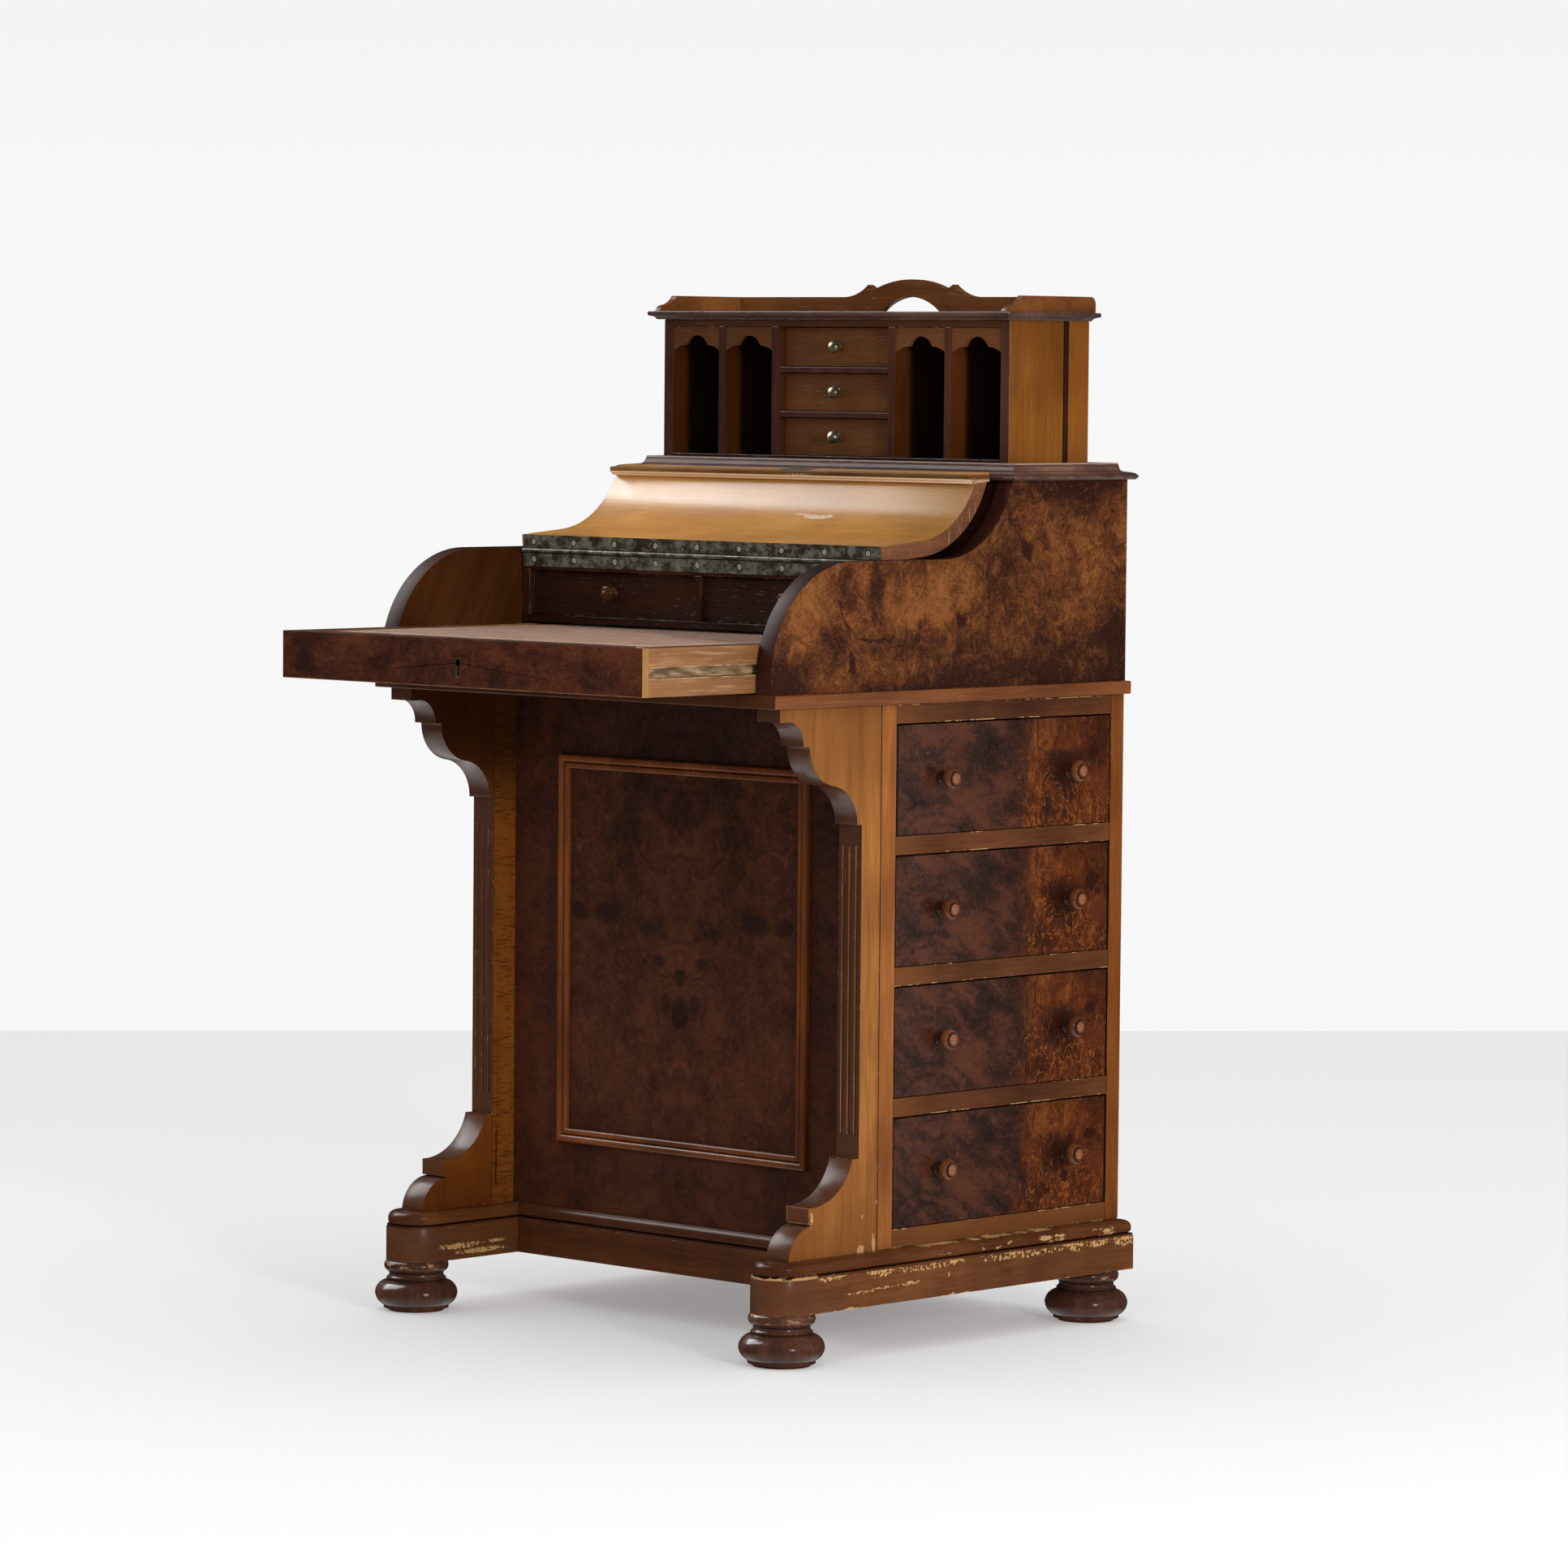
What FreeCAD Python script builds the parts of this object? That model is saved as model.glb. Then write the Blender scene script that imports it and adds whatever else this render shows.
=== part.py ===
import FreeCAD, Part
import math
import os

import Sketcher

# A piano-top davenport desk. Millimetres, X to the right, Y to the back, Z up.
# The origin is on the floor, in the middle of the desk with its writing slide pulled out.
# The lid is folded back on the desk top, and the till stands raised.
sizes = {
    # feet and plinth
    "footX": 275, "footFrontY": -159.75, "footRearY": 319.75, "footHeight": 55,
    "soleR": 30, "soleRise": 3, "stepR": 35.5, "stepRise": 6, "bulgeR": 45, "bulgeRise": 19.5,
    "bulgeTopR": 32.5, "ringLow": 33, "ringTop": 36, "neckR": 29.5, "neckRise": 40, "collarR": 33.2,
    "plinthHalf": 308, "plinthBack": 359.25, "plinthTop": 91.5, "armHalf": 33, "railFront": -38.25,
    "railThick": 20, "filletInset": 0.8, "filletTop": 94.2, "baseTop": 109, "baseInset": 2, "baseRound": 8,
    "baseQuirk": 4.5,
    # pedestal
    "caseHalf": 290.7, "caseTop": 680, "caseBack": 352.75, "frameThick": 20, "backThick": 12,
    "frontStile": 22.9, "seamFront": -33.05, "rearStile": 21.5, "wingBack": -29.15, "wingThick": 32,
    "panelThick": 12, "drawerHigh": 117.5, "drawerRail": 20, "backStile": 70, "backPanel": 6, "backInset": 3,
    "mouldHalf": 187, "mouldLow": 182.5, "mouldTop": 606.5, "mouldWide": 8, "mouldThick": 7,
    "mouldRound": 3.4, "beadGap": 0.6, "beadWide": 6.4, "beadThick": 5.2, "beadRound": 2.4,
    "pilasterFront": -62.25, "fluteR": 1.9, "fluteGap": 9.4, "fluteLow": 232, "fluteTop": 533,
    # shaped front edge of a wing, from the floor up
    "toeFront": -167.15, "toeR": 37, "toeTop": 143.5, "toeBack": -130.15, "blockFront": -136.75,
    "blockLow": 145, "blockTop": 162, "coveR": 63, "coveBack": -72.55, "coveTop": 208, "swellLow": 556,
    "swellFront": -68.95, "swellR": 42, "swellMidY": -105.55, "swellMidZ": 598, "swellTop": 640,
    "swellTopY": -142.15, "hollowFront": -151.55, "hollowR": 25, "hollowTop": 666, "hollowBack": -170.75,
    "fasciaFront": -186.75,
    # desk box
    "bedHalf": 299.4, "bedTop": 694, "bedFront": -203.25, "bedBack": 354.55,
    "cheekHalf": 291.9, "cheekThick": 21.7, "cheekR": 120, "cheekFlat": 829.5, "cheekCurveY": -81.25,
    "sweepR": 110, "sweepY": 60.25, "deskTopLow": 911.5, "floorLow": 748, "floorThick": 8,
    "interiorFront": -10.75, "interiorTop": 805, "interiorSide": 12.2, "dividerHalf": 5, "wellFront": 183.25,
    "wellThick": 8, "wellTop": 893, "topRailDeep": 12,
    # desk top, with the till's opening through it
    "topLeft": 296, "topRight": 305, "topFront": 155.85, "topBack": 356.25, "topHigh": 17.5,
    "mouthHalf": 259.5, "mouthFront": 191, "mouthBack": 327.95,
    # lid and its hinge
    "hingeY": -12.25, "hingeZ": 826, "lidOpen": 175, "lidHalf": 268.8, "lidThick": 17, "lidR": 117,
    "lidCurve": 63, "lidEdge": 1.5, "lidDrop": 69, "lipFront": 174.5, "lipBack": 142.5, "lipDrop": 78.5,
    "lipRound": 3.5, "leafThick": 1.2, "leafHigh": 14, "knuckleR": 2.6, "knucklePlay": 0.6, "pinR": 1.2,
    "boreR": 1.25, "leafHalf": 267, "reliefR": 3.4, "screwR": 1.5, "screwHeadR": 3, "screwDeep": 12,
    "screwPitch": 62.5, "screwLow": 9.5, "screwSlot": 0.35, "screwSlotDeep": 0.5, "strikeHalf": 24,
    "strikeThick": 1.2, "strikeFront": 173.5, "strikeBack": 150, "strikeSlot": 11, "strikeSlotFront": 170.5,
    "strikeSlotBack": 162.5, "strikeDeep": 9,
    # writing slide and its lock
    "slideHalf": 268.5, "slideFront": -364.75, "slideBack": 85.25, "slideLow": 696, "slideTop": 746,
    "facing": 9, "slideRail": 18, "frontRail": 20, "boardTop": 743.8, "boardThick": 13.8, "grooveLow": 715,
    "grooveTop": 725.4, "grooveDeep": 7, "runnerPlay": 1, "runnerFront": -190.75, "runnerBack": 337.25,
    "leatherInset": 4.5, "leatherThick": 1.4, "keyR": 3.2, "keySlot": 2.1, "keyLow": 707.5, "keyZ": 720.2,
    "lockHalf": 32, "lockLow": 703, "lockTop": 744, "lockBack": -336.75, "boltHalf": 10, "boltFront": -344.75,
    "boltThick": 4, "boltLow": 725, "boltTop": 745.5, "boltPlay": 0.4,
    # pedestal drawers and knobs
    "drawerGap": 1.5, "drawerFront": 18, "drawerSide": 10, "drawerSideHigh": 95, "drawerLong": 503,
    "drawerBottom": 6, "bottomLift": 6, "runRise": 0.6, "runnerWide": 20, "runnerThick": 10,
    "knobSpread": 101.5, "knobR": 11.5, "knobOut": 23.5, "knobStemR": 5.5, "knobBaseR": 7.5,
    # interior drawers
    "innerRecess": 6, "innerLong": 182, "innerGap": 1, "innerFront": 10, "innerSide": 6, "innerKnobR": 8.5,
    "innerKnobOut": 18, "innerKnobRise": 2,
    # till
    "tillHalf": 258, "tillFront": 197.05, "tillBack": 325.95, "tillSide": 13, "tillLow": 906,
    "tillFloorLow": 922, "tillFloorTop": 932, "tillTop": 1081, "tillBackThick": 8, "outerDivider": 164.2,
    "outerThick": 9, "innerDivider": 82, "innerThick": 10, "shelfOne": 974.1, "shelfTwo": 1023,
    "shelfThick": 6.4, "tillRail": 1073.5, "friezeDeep": 6.5, "guideY": 288.65, "guideHalf": 4,
    "guideDeep": 5, "guidePlay": 0.4, "valanceLow": 1045.7, "valanceThick": 5, "valanceSet": 1.5,
    "cuspHalf": 16.5, "cuspRise": 6.6, "archR": 17.9, "wavesR": 32, "capHalf": 270.3, "capMiddle": -4.1,
    "capFront": 186.25, "capBack": 336.25, "capTop": 1090, "tillDrawerSet": 11, "tillDrawerGap": 0.9,
    "tillDrawerFront": 8, "tillDrawerBack": 313.25, "tillDrawerSide": 5,
    "tillKnobR": 7.2, "tillKnobOut": 15.6,
    # gallery
    "galleryHalf": 263, "galleryMiddle": -5, "galleryThick": 8, "galleryLevel": 1107.4,
    "galleryFront": 191.25, "galleryRise": 218.25, "galleryBack": 336.25, "galleryR": 8,
    "galleryBoardY": 321.25, "galleryBoard": 9,
    "riseStart": 100, "riseR": 55, "peakX": 63.5, "peakZ": 1121, "dipX": 54, "dipZ": 1115.8, "crestR": 138,
    "holeHalf": 46, "holeLow": 1089, "holeR": 66.7,
}

doc = FreeCAD.newDocument("davenport_desk")
sheet = doc.addObject("Spreadsheet::Sheet", "dims")
for row, (alias, value) in enumerate(sizes.items(), start=1):
    sheet.set("A%d" % row, alias)
    sheet.set("B%d" % row, str(value))
    sheet.setAlias("B%d" % row, alias)
doc.recompute()


class Size:
    # a length with the sheet expression that gives it
    def __init__(self, text, number):
        self.text = text
        self.number = float(number)

    def joined(self, sign, other, number, turned=False):
        text = other.text if isinstance(other, Size) else repr(other)
        first, second = (text, self.text) if turned else (self.text, text)
        return Size("(%s %s %s)" % (first, sign, second), number)

    def __add__(self, other):
        return self.joined("+", other, self.number + plain(other))

    def __radd__(self, other):
        return self.joined("+", other, plain(other) + self.number, True)

    def __sub__(self, other):
        return self.joined("-", other, self.number - plain(other))

    def __rsub__(self, other):
        return self.joined("-", other, plain(other) - self.number, True)

    def __mul__(self, other):
        return self.joined("*", other, self.number * plain(other))

    def __rmul__(self, other):
        return self.joined("*", other, plain(other) * self.number, True)

    def __truediv__(self, other):
        return self.joined("/", other, self.number / plain(other))

    def __neg__(self):
        return 0 - self


class Sheet:
    def __getattr__(self, name):
        return Size("dims." + name, sizes[name])


def plain(value):
    return value.number if isinstance(value, Size) else float(value)


def root(size):
    return Size("sqrt(%s)" % size.text, math.sqrt(size.number))


d = Sheet()
nodes = []


def bind(item, path, value):
    if isinstance(value, Size):
        item.setExpression(path, value.text)
    else:
        item.setExpression(path, repr(float(value)))


def place(item, x=0, y=0, z=0):
    for axis, value in zip("xyz", (x, y, z)):
        bind(item, "Placement.Base." + axis, value)
    return item


def box(name, x, y, z):
    item = doc.addObject("Part::Box", name)
    for path, (low, high) in zip(("Length", "Width", "Height"), (x, y, z)):
        bind(item, path, high - low)
    return place(item, x[0], y[0], z[0])


# turns that point a part's own Z axis along X, or out of the front along -Y
alongX = FreeCAD.Rotation(FreeCAD.Vector(0, 1, 0), 90)
alongLeft = FreeCAD.Rotation(FreeCAD.Vector(0, 1, 0), -90)
alongFront = FreeCAD.Rotation(FreeCAD.Vector(1, 0, 0), 90)
alongBack = FreeCAD.Rotation(FreeCAD.Vector(1, 0, 0), -90)


def rod(name, radius, long, x=0, y=0, z=0, turn=None, tip=None):
    item = doc.addObject("Part::Cone" if tip else "Part::Cylinder", name)
    if tip:
        bind(item, "Radius1", radius)
        bind(item, "Radius2", tip)
    else:
        bind(item, "Radius", radius)
    bind(item, "Height", long)
    if turn:
        item.Placement.Rotation = turn
    return place(item, x, y, z)


def group(name, items):
    item = doc.addObject("Part::Compound", name)
    item.Links = items
    return item


def cut(name, base, tool):
    item = doc.addObject("Part::Cut", name)
    item.Base = base
    item.Tool = tool
    return item


def fuse(name, items):
    item = doc.addObject("Part::MultiFuse", name)
    item.Shapes = items
    return item


def node(label, item):
    item.Label = label
    nodes.append(item)
    return item


def arcBetween(start, end, radius, turn):
    # centre of the short arc from start to end that bends to the left or to the right
    run = end - start
    height = math.sqrt(max(radius * radius - run.Length * run.Length / 4, 0))
    side = FreeCAD.Vector(-run.y, run.x, 0).normalize()
    return (start + end) / 2 + side * (height if turn == "left" else -height)


def outline(body, name, plane, steps):
    # a closed outline: each step is ("to", u, v) or ("left"/"right", u, v, radius)
    sketch = body.newObject("Sketcher::SketchObject", name)
    support = next(f for f in body.Origin.OriginFeatures if f.Role == plane)
    sketch.AttachmentSupport = (support, [""])
    sketch.MapMode = "FlatFace"
    corners = [FreeCAD.Vector(plain(step[1]), plain(step[2]), 0) for step in steps]
    ends = []
    for index, step in enumerate(steps):
        start, end = corners[index - 1], corners[index]
        if step[0] == "to":
            edge = sketch.addGeometry(Part.LineSegment(start, end), False)
            ends.append((edge, 1, 2))
            continue
        centre = arcBetween(start, end, plain(step[3]), step[0])
        first, last = (start, end) if step[0] == "left" else (end, start)
        angles = [math.atan2(p.y - centre.y, p.x - centre.x) for p in (first, last)]
        circle = Part.Circle(centre, FreeCAD.Vector(0, 0, 1), plain(step[3]))
        edge = sketch.addGeometry(Part.ArcOfCircle(circle, *angles), False)
        ends.append((edge, 1, 2) if step[0] == "left" else (edge, 2, 1))
    for index, step in enumerate(steps):
        edge, start, end = ends[index]
        nextEdge, nextStart, nextEnd = ends[(index + 1) % len(ends)]
        sketch.addConstraint(Sketcher.Constraint("Coincident", edge, end, nextEdge, nextStart))
        for kind, value in (("DistanceX", step[1]), ("DistanceY", step[2])):
            number = sketch.addConstraint(Sketcher.Constraint(kind, -1, 1, edge, end, plain(value)))
            bind(sketch, "Constraints[%d]" % number, value)
        if step[0] != "to":
            number = sketch.addConstraint(Sketcher.Constraint("Radius", edge, plain(step[3])))
            bind(sketch, "Constraints[%d]" % number, step[3])
    return sketch


def padded(name, plane, steps, low, high):
    # an outline given its thickness from low to high along the plane's normal
    body = doc.addObject("PartDesign::Body", name)
    sketch = outline(body, name + "_outline", plane, steps)
    pad = body.newObject("PartDesign::Pad", name + "_pad")
    pad.Profile = sketch
    bind(pad, "Length", high - low)
    axis = {"YZ_Plane": "x", "XZ_Plane": "y", "XY_Plane": "z"}[plane]
    # a pad on the XZ plane grows towards the front
    bind(body, "Placement.Base." + axis, high if axis == "y" else low)
    return body


def rounded(body, name, radius, picks):
    # rounds the edges of a body that picks chooses
    doc.recompute()
    base = body.Tip
    fillet = body.newObject("PartDesign::Fillet", name)
    fillet.Base = (base, ["Edge%d" % n for n, edge in enumerate(base.Shape.Edges, start=1) if picks(edge)])
    bind(fillet, "Radius", radius)
    return body


def turned(name, steps, x=0, y=0, z=0, turn=None):
    # a piece turned on a lathe: steps give radius and height, from the axis round to the axis
    body = doc.addObject("PartDesign::Body", name)
    sketch = outline(body, name + "_outline", "XZ_Plane", steps)
    spin = body.newObject("PartDesign::Revolution", name + "_turning")
    spin.Profile = sketch
    spin.ReferenceAxis = (sketch, ["V_Axis"])
    spin.Angle = 360
    if turn:
        body.Placement.Rotation = turn
    return place(body, x, y, z)


def bothSides(make):
    # a piece on the right and its twin on the left
    return [make("right", 1), make("left", -1)]


def span(side, near, far):
    # a stretch from near to far of the middle plane, on the given side
    return (near, far) if side > 0 else (-far, -near)


# base


def bunFoot(name, x, y):
    steps = [
        ("to", 0, 0), ("to", d.soleR, 0), ("to", d.soleR, d.soleRise), ("to", d.stepR, d.soleRise),
        ("to", d.stepR, d.stepRise), ("left", d.bulgeR, d.bulgeRise, d.bulgeRise - d.stepRise + 2),
        ("left", d.bulgeTopR, d.ringLow, d.ringLow - d.bulgeRise + 1), ("to", d.bulgeTopR, d.ringTop),
        ("right", d.neckR, d.neckRise, d.neckRise - d.ringTop + 1),
        ("right", d.collarR - 2, d.neckRise + 3, d.neckRise - d.ringTop),
        ("left", d.collarR - 1, d.footHeight, d.neckRise - d.ringLow), ("to", 0, d.footHeight),
    ]
    return turned(name, steps, x, y)


feet = []
for side in (1, -1):
    for end, y in (("front", d.footFrontY), ("rear", d.footRearY)):
        feet.append(bunFoot("foot_%s_%d" % (end, side), d.footX * side, y))
node("bun_feet", group("bun_feet_group", feet))

armMiddle = d.plinthHalf - d.armHalf
armInner = d.plinthHalf - d.armHalf * 2


def plinthArm(name, side):
    near, far = span(side, armInner, d.plinthHalf)
    middle = armMiddle * side
    tip = d.footFrontY - d.armHalf
    steps = [
        ("to", far, d.plinthBack), ("to", near, d.plinthBack), ("to", near, d.footFrontY),
        ("left", middle, tip, d.armHalf), ("left", far, d.footFrontY, d.armHalf),
    ]
    return padded("plinth_arm_" + name, "XY_Plane", steps, d.footHeight, d.plinthTop)


plinthZ = (d.footHeight, d.plinthTop)
plinthRails = [
    box("plinth_front", (-armInner, armInner), (d.railFront, d.railFront + d.railThick), plinthZ),
    box("plinth_back", (-armInner, armInner), (d.plinthBack - d.railThick, d.plinthBack), plinthZ),
]
node("plinth_frame", group("plinth_group", bothSides(plinthArm) + plinthRails))


def baseLayer(name, inset, low, high):
    # a board over the plinth, set in from its edges
    outer = d.plinthHalf - inset
    inner = armInner + inset
    tip = d.footFrontY - d.armHalf + inset
    radius = d.armHalf - inset
    front = d.railFront + inset
    back = d.plinthBack - inset
    return padded(name, "XY_Plane", [
        ("to", -outer, d.footFrontY), ("left", -armMiddle, tip, radius),
        ("left", -inner, d.footFrontY, radius), ("to", -inner, front), ("to", inner, front),
        ("to", inner, d.footFrontY),
        ("left", armMiddle, tip, radius), ("left", outer, d.footFrontY, radius), ("to", outer, back),
        ("to", -outer, back),
    ], low, high)


def level(height):
    # picks the edges that lie flat at a height of a body's own frame
    return lambda edge: all(abs(v.Z - plain(height)) < 0.01 for v in edge.Vertexes)


# a thin fillet, and a torus rounded over it
fillet = baseLayer("base_fillet", d.filletInset, d.plinthTop, d.filletTop)
torus = baseLayer("base_torus", d.baseInset, d.filletTop, d.baseTop)
rounded(torus, "base_round", d.baseRound, level(d.baseTop - d.filletTop))
rounded(torus, "base_quirk", d.baseQuirk, level(0))
node("base_moulding", group("base_group", [fillet, torus]))

# pedestal


def wing(name, side):
    steps = [
        ("to", d.wingBack, d.baseTop), ("to", d.toeFront, d.baseTop), ("right", d.toeBack, d.toeTop, d.toeR),
        ("to", d.blockFront, d.blockLow), ("to", d.blockFront, d.blockTop),
        ("left", d.coveBack, d.coveTop - 1.7, d.coveR), ("to", d.coveBack, d.coveTop),
        ("to", d.pilasterFront, d.coveTop), ("to", d.pilasterFront, d.swellLow),
        ("to", d.swellFront, d.swellLow), ("left", d.swellMidY, d.swellMidZ, d.swellR),
        ("right", d.swellTopY, d.swellTop, d.swellR),
        ("to", d.hollowFront, d.swellTop), ("left", d.hollowBack, d.hollowTop, d.hollowR),
        ("to", d.fasciaFront, d.hollowTop), ("to", d.fasciaFront, d.caseTop), ("to", d.wingBack, d.caseTop),
    ]
    near, far = span(side, d.caseHalf - d.wingThick, d.caseHalf)
    board = padded("wing_board_" + name, "YZ_Plane", steps, near, far)
    middle = (d.caseHalf - d.wingThick / 2) * side
    flutes = [
        rod("flute_%s_%d" % (name, step), d.fluteR, d.fluteTop - d.fluteLow, middle + d.fluteGap * step,
            d.pilasterFront, d.fluteLow)
        for step in (-1, 0, 1)
    ]
    # the outer part of its back edge is cut away for the stile
    seat = box("stile_seat_" + name, span(side, d.caseHalf - d.frameThick, d.caseHalf + 1),
               (d.seamFront, d.wingBack + 1), (d.baseTop - 1, d.caseTop + 1))
    return node("wing_" + name, cut("wing_cut_" + name, board, group("flutes_" + name, flutes + [seat])))


bothSides(wing)

caseInner = d.caseHalf - d.frameThick
stileFront = (d.seamFront, d.seamFront + d.frontStile)
stileRear = (d.caseBack - d.rearStile, d.caseBack)
openingY = (stileFront[1], stileRear[0])
openingMiddle = (openingY[0] + openingY[1]) / 2
caseZ = (d.baseTop, d.caseTop)
pitch = d.drawerHigh + d.drawerRail
# lower edges of the four drawer openings, from the top drawer down
openings = [d.baseTop + d.drawerRail + pitch * step for step in (3, 2, 1, 0)]

node("knee_panel", box("knee_board", (-caseInner, caseInner), (d.wingBack, d.wingBack + d.panelThick), caseZ))


def rectangle(half, low, high):
    return [("to", half, low), ("to", half, high), ("to", -half, high), ("to", -half, low)]


def kneeBead(name, inset, wide, thick, radius):
    # a rounded frame on the knee panel, set in from the moulding's outer edge
    def grown(by):
        return rectangle(d.mouldHalf - by, d.mouldLow + by, d.mouldTop - by)

    def frontEdges(edge):
        return all(abs(v.Y + plain(thick)) < 0.01 for v in edge.Vertexes)

    bead = padded(name, "XZ_Plane", grown(inset), d.wingBack - thick, d.wingBack)
    hole = bead.newObject("PartDesign::Pocket", name + "_field")
    hole.Profile = outline(bead, name + "_inner", "XZ_Plane", grown(inset + wide))
    hole.Type = "ThroughAll"
    hole.Midplane = True
    return rounded(bead, name + "_round", radius, frontEdges)


node("knee_moulding", group("knee_beads", [
    kneeBead("knee_frame", 0, d.mouldWide, d.mouldThick, d.mouldRound),
    kneeBead("knee_bead", d.mouldWide + d.beadGap, d.beadWide, d.beadThick, d.beadRound),
]))


def sideFrame(name, side):
    x = span(side, caseInner, d.caseHalf)
    parts = [box("stile_front_" + name, x, stileFront, caseZ), box("stile_rear_" + name, x, stileRear, caseZ)]
    for step in range(5):
        low = d.baseTop + pitch * step
        high = low + d.drawerRail if step < 4 else d.caseTop
        parts.append(box("rail_%s_%d" % (name, step), x, openingY, (low, high)))
    return node(name + "_side_frame", group("frame_" + name, parts))


bothSides(sideFrame)

fronts = []
for step, low in enumerate(openings, start=1):
    fronts.append(box("dummy_front_%d" % step, (-d.caseHalf, -d.caseHalf + d.drawerFront), openingY,
                      (low, low + d.drawerHigh)))
node("dummy_fronts", group("dummy_group", fronts))


def knob(name, x, y, z, turn, radius=d.knobR, out=d.knobOut, base=d.knobBaseR, stem=d.knobStemR):
    # a stepped button with a domed middle, on a waisted stem
    crown = radius * 0.34
    rise = out * 0.06
    steps = [
        ("to", 0, 0), ("to", base, 0), ("to", base, out * 0.12), ("right", stem, out * 0.4, out * 0.45),
        ("to", radius * 0.9, out * 0.52), ("left", radius, out * 0.68, out * 0.2),
        ("left", radius * 0.8, out * 0.88, out * 0.24), ("to", radius * 0.62, out * 0.88),
        ("to", radius * 0.58, out * 0.94), ("to", crown, out - rise),
        ("left", 0, out, (crown * crown + rise * rise) / (rise * 2)),
    ]
    return turned(name, steps, x, y, z, turn)


def knobPair(name, low, x, turn):
    pair = []
    for end, offset in (("front", -d.knobSpread), ("rear", d.knobSpread)):
        pair.append(knob("%s_%s" % (name, end), x, openingMiddle + offset, low + d.drawerHigh / 2, turn))
    return pair


dummyKnobs = []
for step, low in enumerate(openings, start=1):
    dummyKnobs += knobPair("dummy_knob_%d" % step, low, -d.caseHalf, alongLeft)
node("dummy_knobs", group("dummy_knob_group", dummyKnobs))

backY = (d.caseBack - d.backThick, d.caseBack)
fieldHalf = caseInner - d.backStile
backParts = [
    box("back_stile_%d" % side, span(side, fieldHalf, caseInner), backY, caseZ) for side in (1, -1)
]
backParts += [
    box("back_rail_low", (-fieldHalf, fieldHalf), backY, (d.baseTop, d.baseTop + d.backStile)),
    box("back_rail_top", (-fieldHalf, fieldHalf), backY, (d.caseTop - d.backStile, d.caseTop)),
    box("back_field", (-fieldHalf, fieldHalf), (backY[0] + d.backInset, backY[0] + d.backInset + d.backPanel),
        (d.baseTop + d.backStile, d.caseTop - d.backStile)),
]
node("pedestal_back", group("back_group", backParts))

runners = []
for step, low in enumerate(openings, start=1):
    for end, y in (("front", (openingY[0], openingY[0] + d.runnerWide)),
                   ("rear", (openingY[1] - d.runnerWide, openingY[1]))):
        runners.append(box("runner_%d_%s" % (step, end), (-caseInner, caseInner), y,
                           (low - d.runnerThick, low)))
node("drawer_runners", group("runner_group", runners))

# pedestal drawers


def drawerBox(name, across, along, low, high, front, side, bottom, lift, sideHigh):
    # a front with two sides, a back and a bottom between them. across and along are (low, high) of the
    # front's width and of the whole drawer's depth; the front is at the high end of along
    near, far = along
    inner = (across[0] + side, across[1] - side)
    sides = [(across[0], inner[0]), (inner[1], across[1])]
    z = (low, low + sideHigh)
    rise = low + lift
    body = (near, far - front)
    return [
        ("front", (far - front, far), across, (low, high)),
        ("side_a", body, sides[0], z),
        ("side_b", body, sides[1], z),
        ("back", (near, near + side), inner, (rise + bottom, low + sideHigh)),
        ("bottom", body, inner, (rise, rise + bottom)),
    ]


def sideDrawer(step, low):
    name = "drawer_%d" % step
    across = (openingY[0] + d.drawerGap, openingY[1] - d.drawerGap)
    along = (d.caseHalf - d.drawerFront - d.drawerLong, d.caseHalf)
    parts = drawerBox(name, across, along, low + d.runRise, low + d.drawerHigh - d.drawerGap, d.drawerFront,
                      d.drawerSide, d.drawerBottom, d.bottomLift, d.drawerSideHigh)
    solids = [box("%s_%s" % (name, piece), x, y, z) for piece, x, y, z in parts]
    node(name, group(name + "_group", solids))
    pair = knobPair(name + "_knob", low, d.caseHalf, alongX)
    node(name + "_knobs", group(name + "_knob_group", pair))


for step, low in enumerate(openings, start=1):
    sideDrawer(step, low)

# desk box

cheekInner = d.cheekHalf - d.cheekThick
node("desk_bed", box("bed_board", (-d.bedHalf, d.bedHalf), (d.bedFront, d.bedBack), (d.caseTop, d.bedTop)))

cheekCentre = d.cheekFlat - d.cheekR
sweepCentre = d.cheekFlat + d.sweepR


def sweepEnd(radius):
    # where a curve about the sweep's centre meets the desk top
    drop = sweepCentre - d.deskTopLow
    return d.sweepY + root(radius * radius - drop * drop)


def cheek(name, side):
    front = d.cheekCurveY - d.cheekR
    steps = [
        ("to", d.caseBack, d.bedTop), ("to", front, d.bedTop), ("to", front, cheekCentre),
        ("right", d.cheekCurveY, d.cheekFlat, d.cheekR), ("to", d.sweepY, d.cheekFlat),
        ("left", sweepEnd(d.sweepR), d.deskTopLow, d.sweepR), ("to", d.caseBack, d.deskTopLow),
    ]
    board = padded("cheek_board_" + name, "YZ_Plane", steps, *span(side, cheekInner, d.cheekHalf))
    return node("cheek_" + name, board)


bothSides(cheek)

floorTop = d.floorLow + d.floorThick
acrossDesk = (-cheekInner, cheekInner)
node("interior_floor", box("floor_board", acrossDesk, (d.interiorFront, backY[0]), (d.floorLow, floorTop)))
node("upper_back", box("upper_back_board", acrossDesk, backY, (d.bedTop, d.deskTopLow)))
node("well_partition", box("well_board", acrossDesk, (d.wellFront, d.wellFront + d.wellThick),
                           (floorTop, d.wellTop)))

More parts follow.
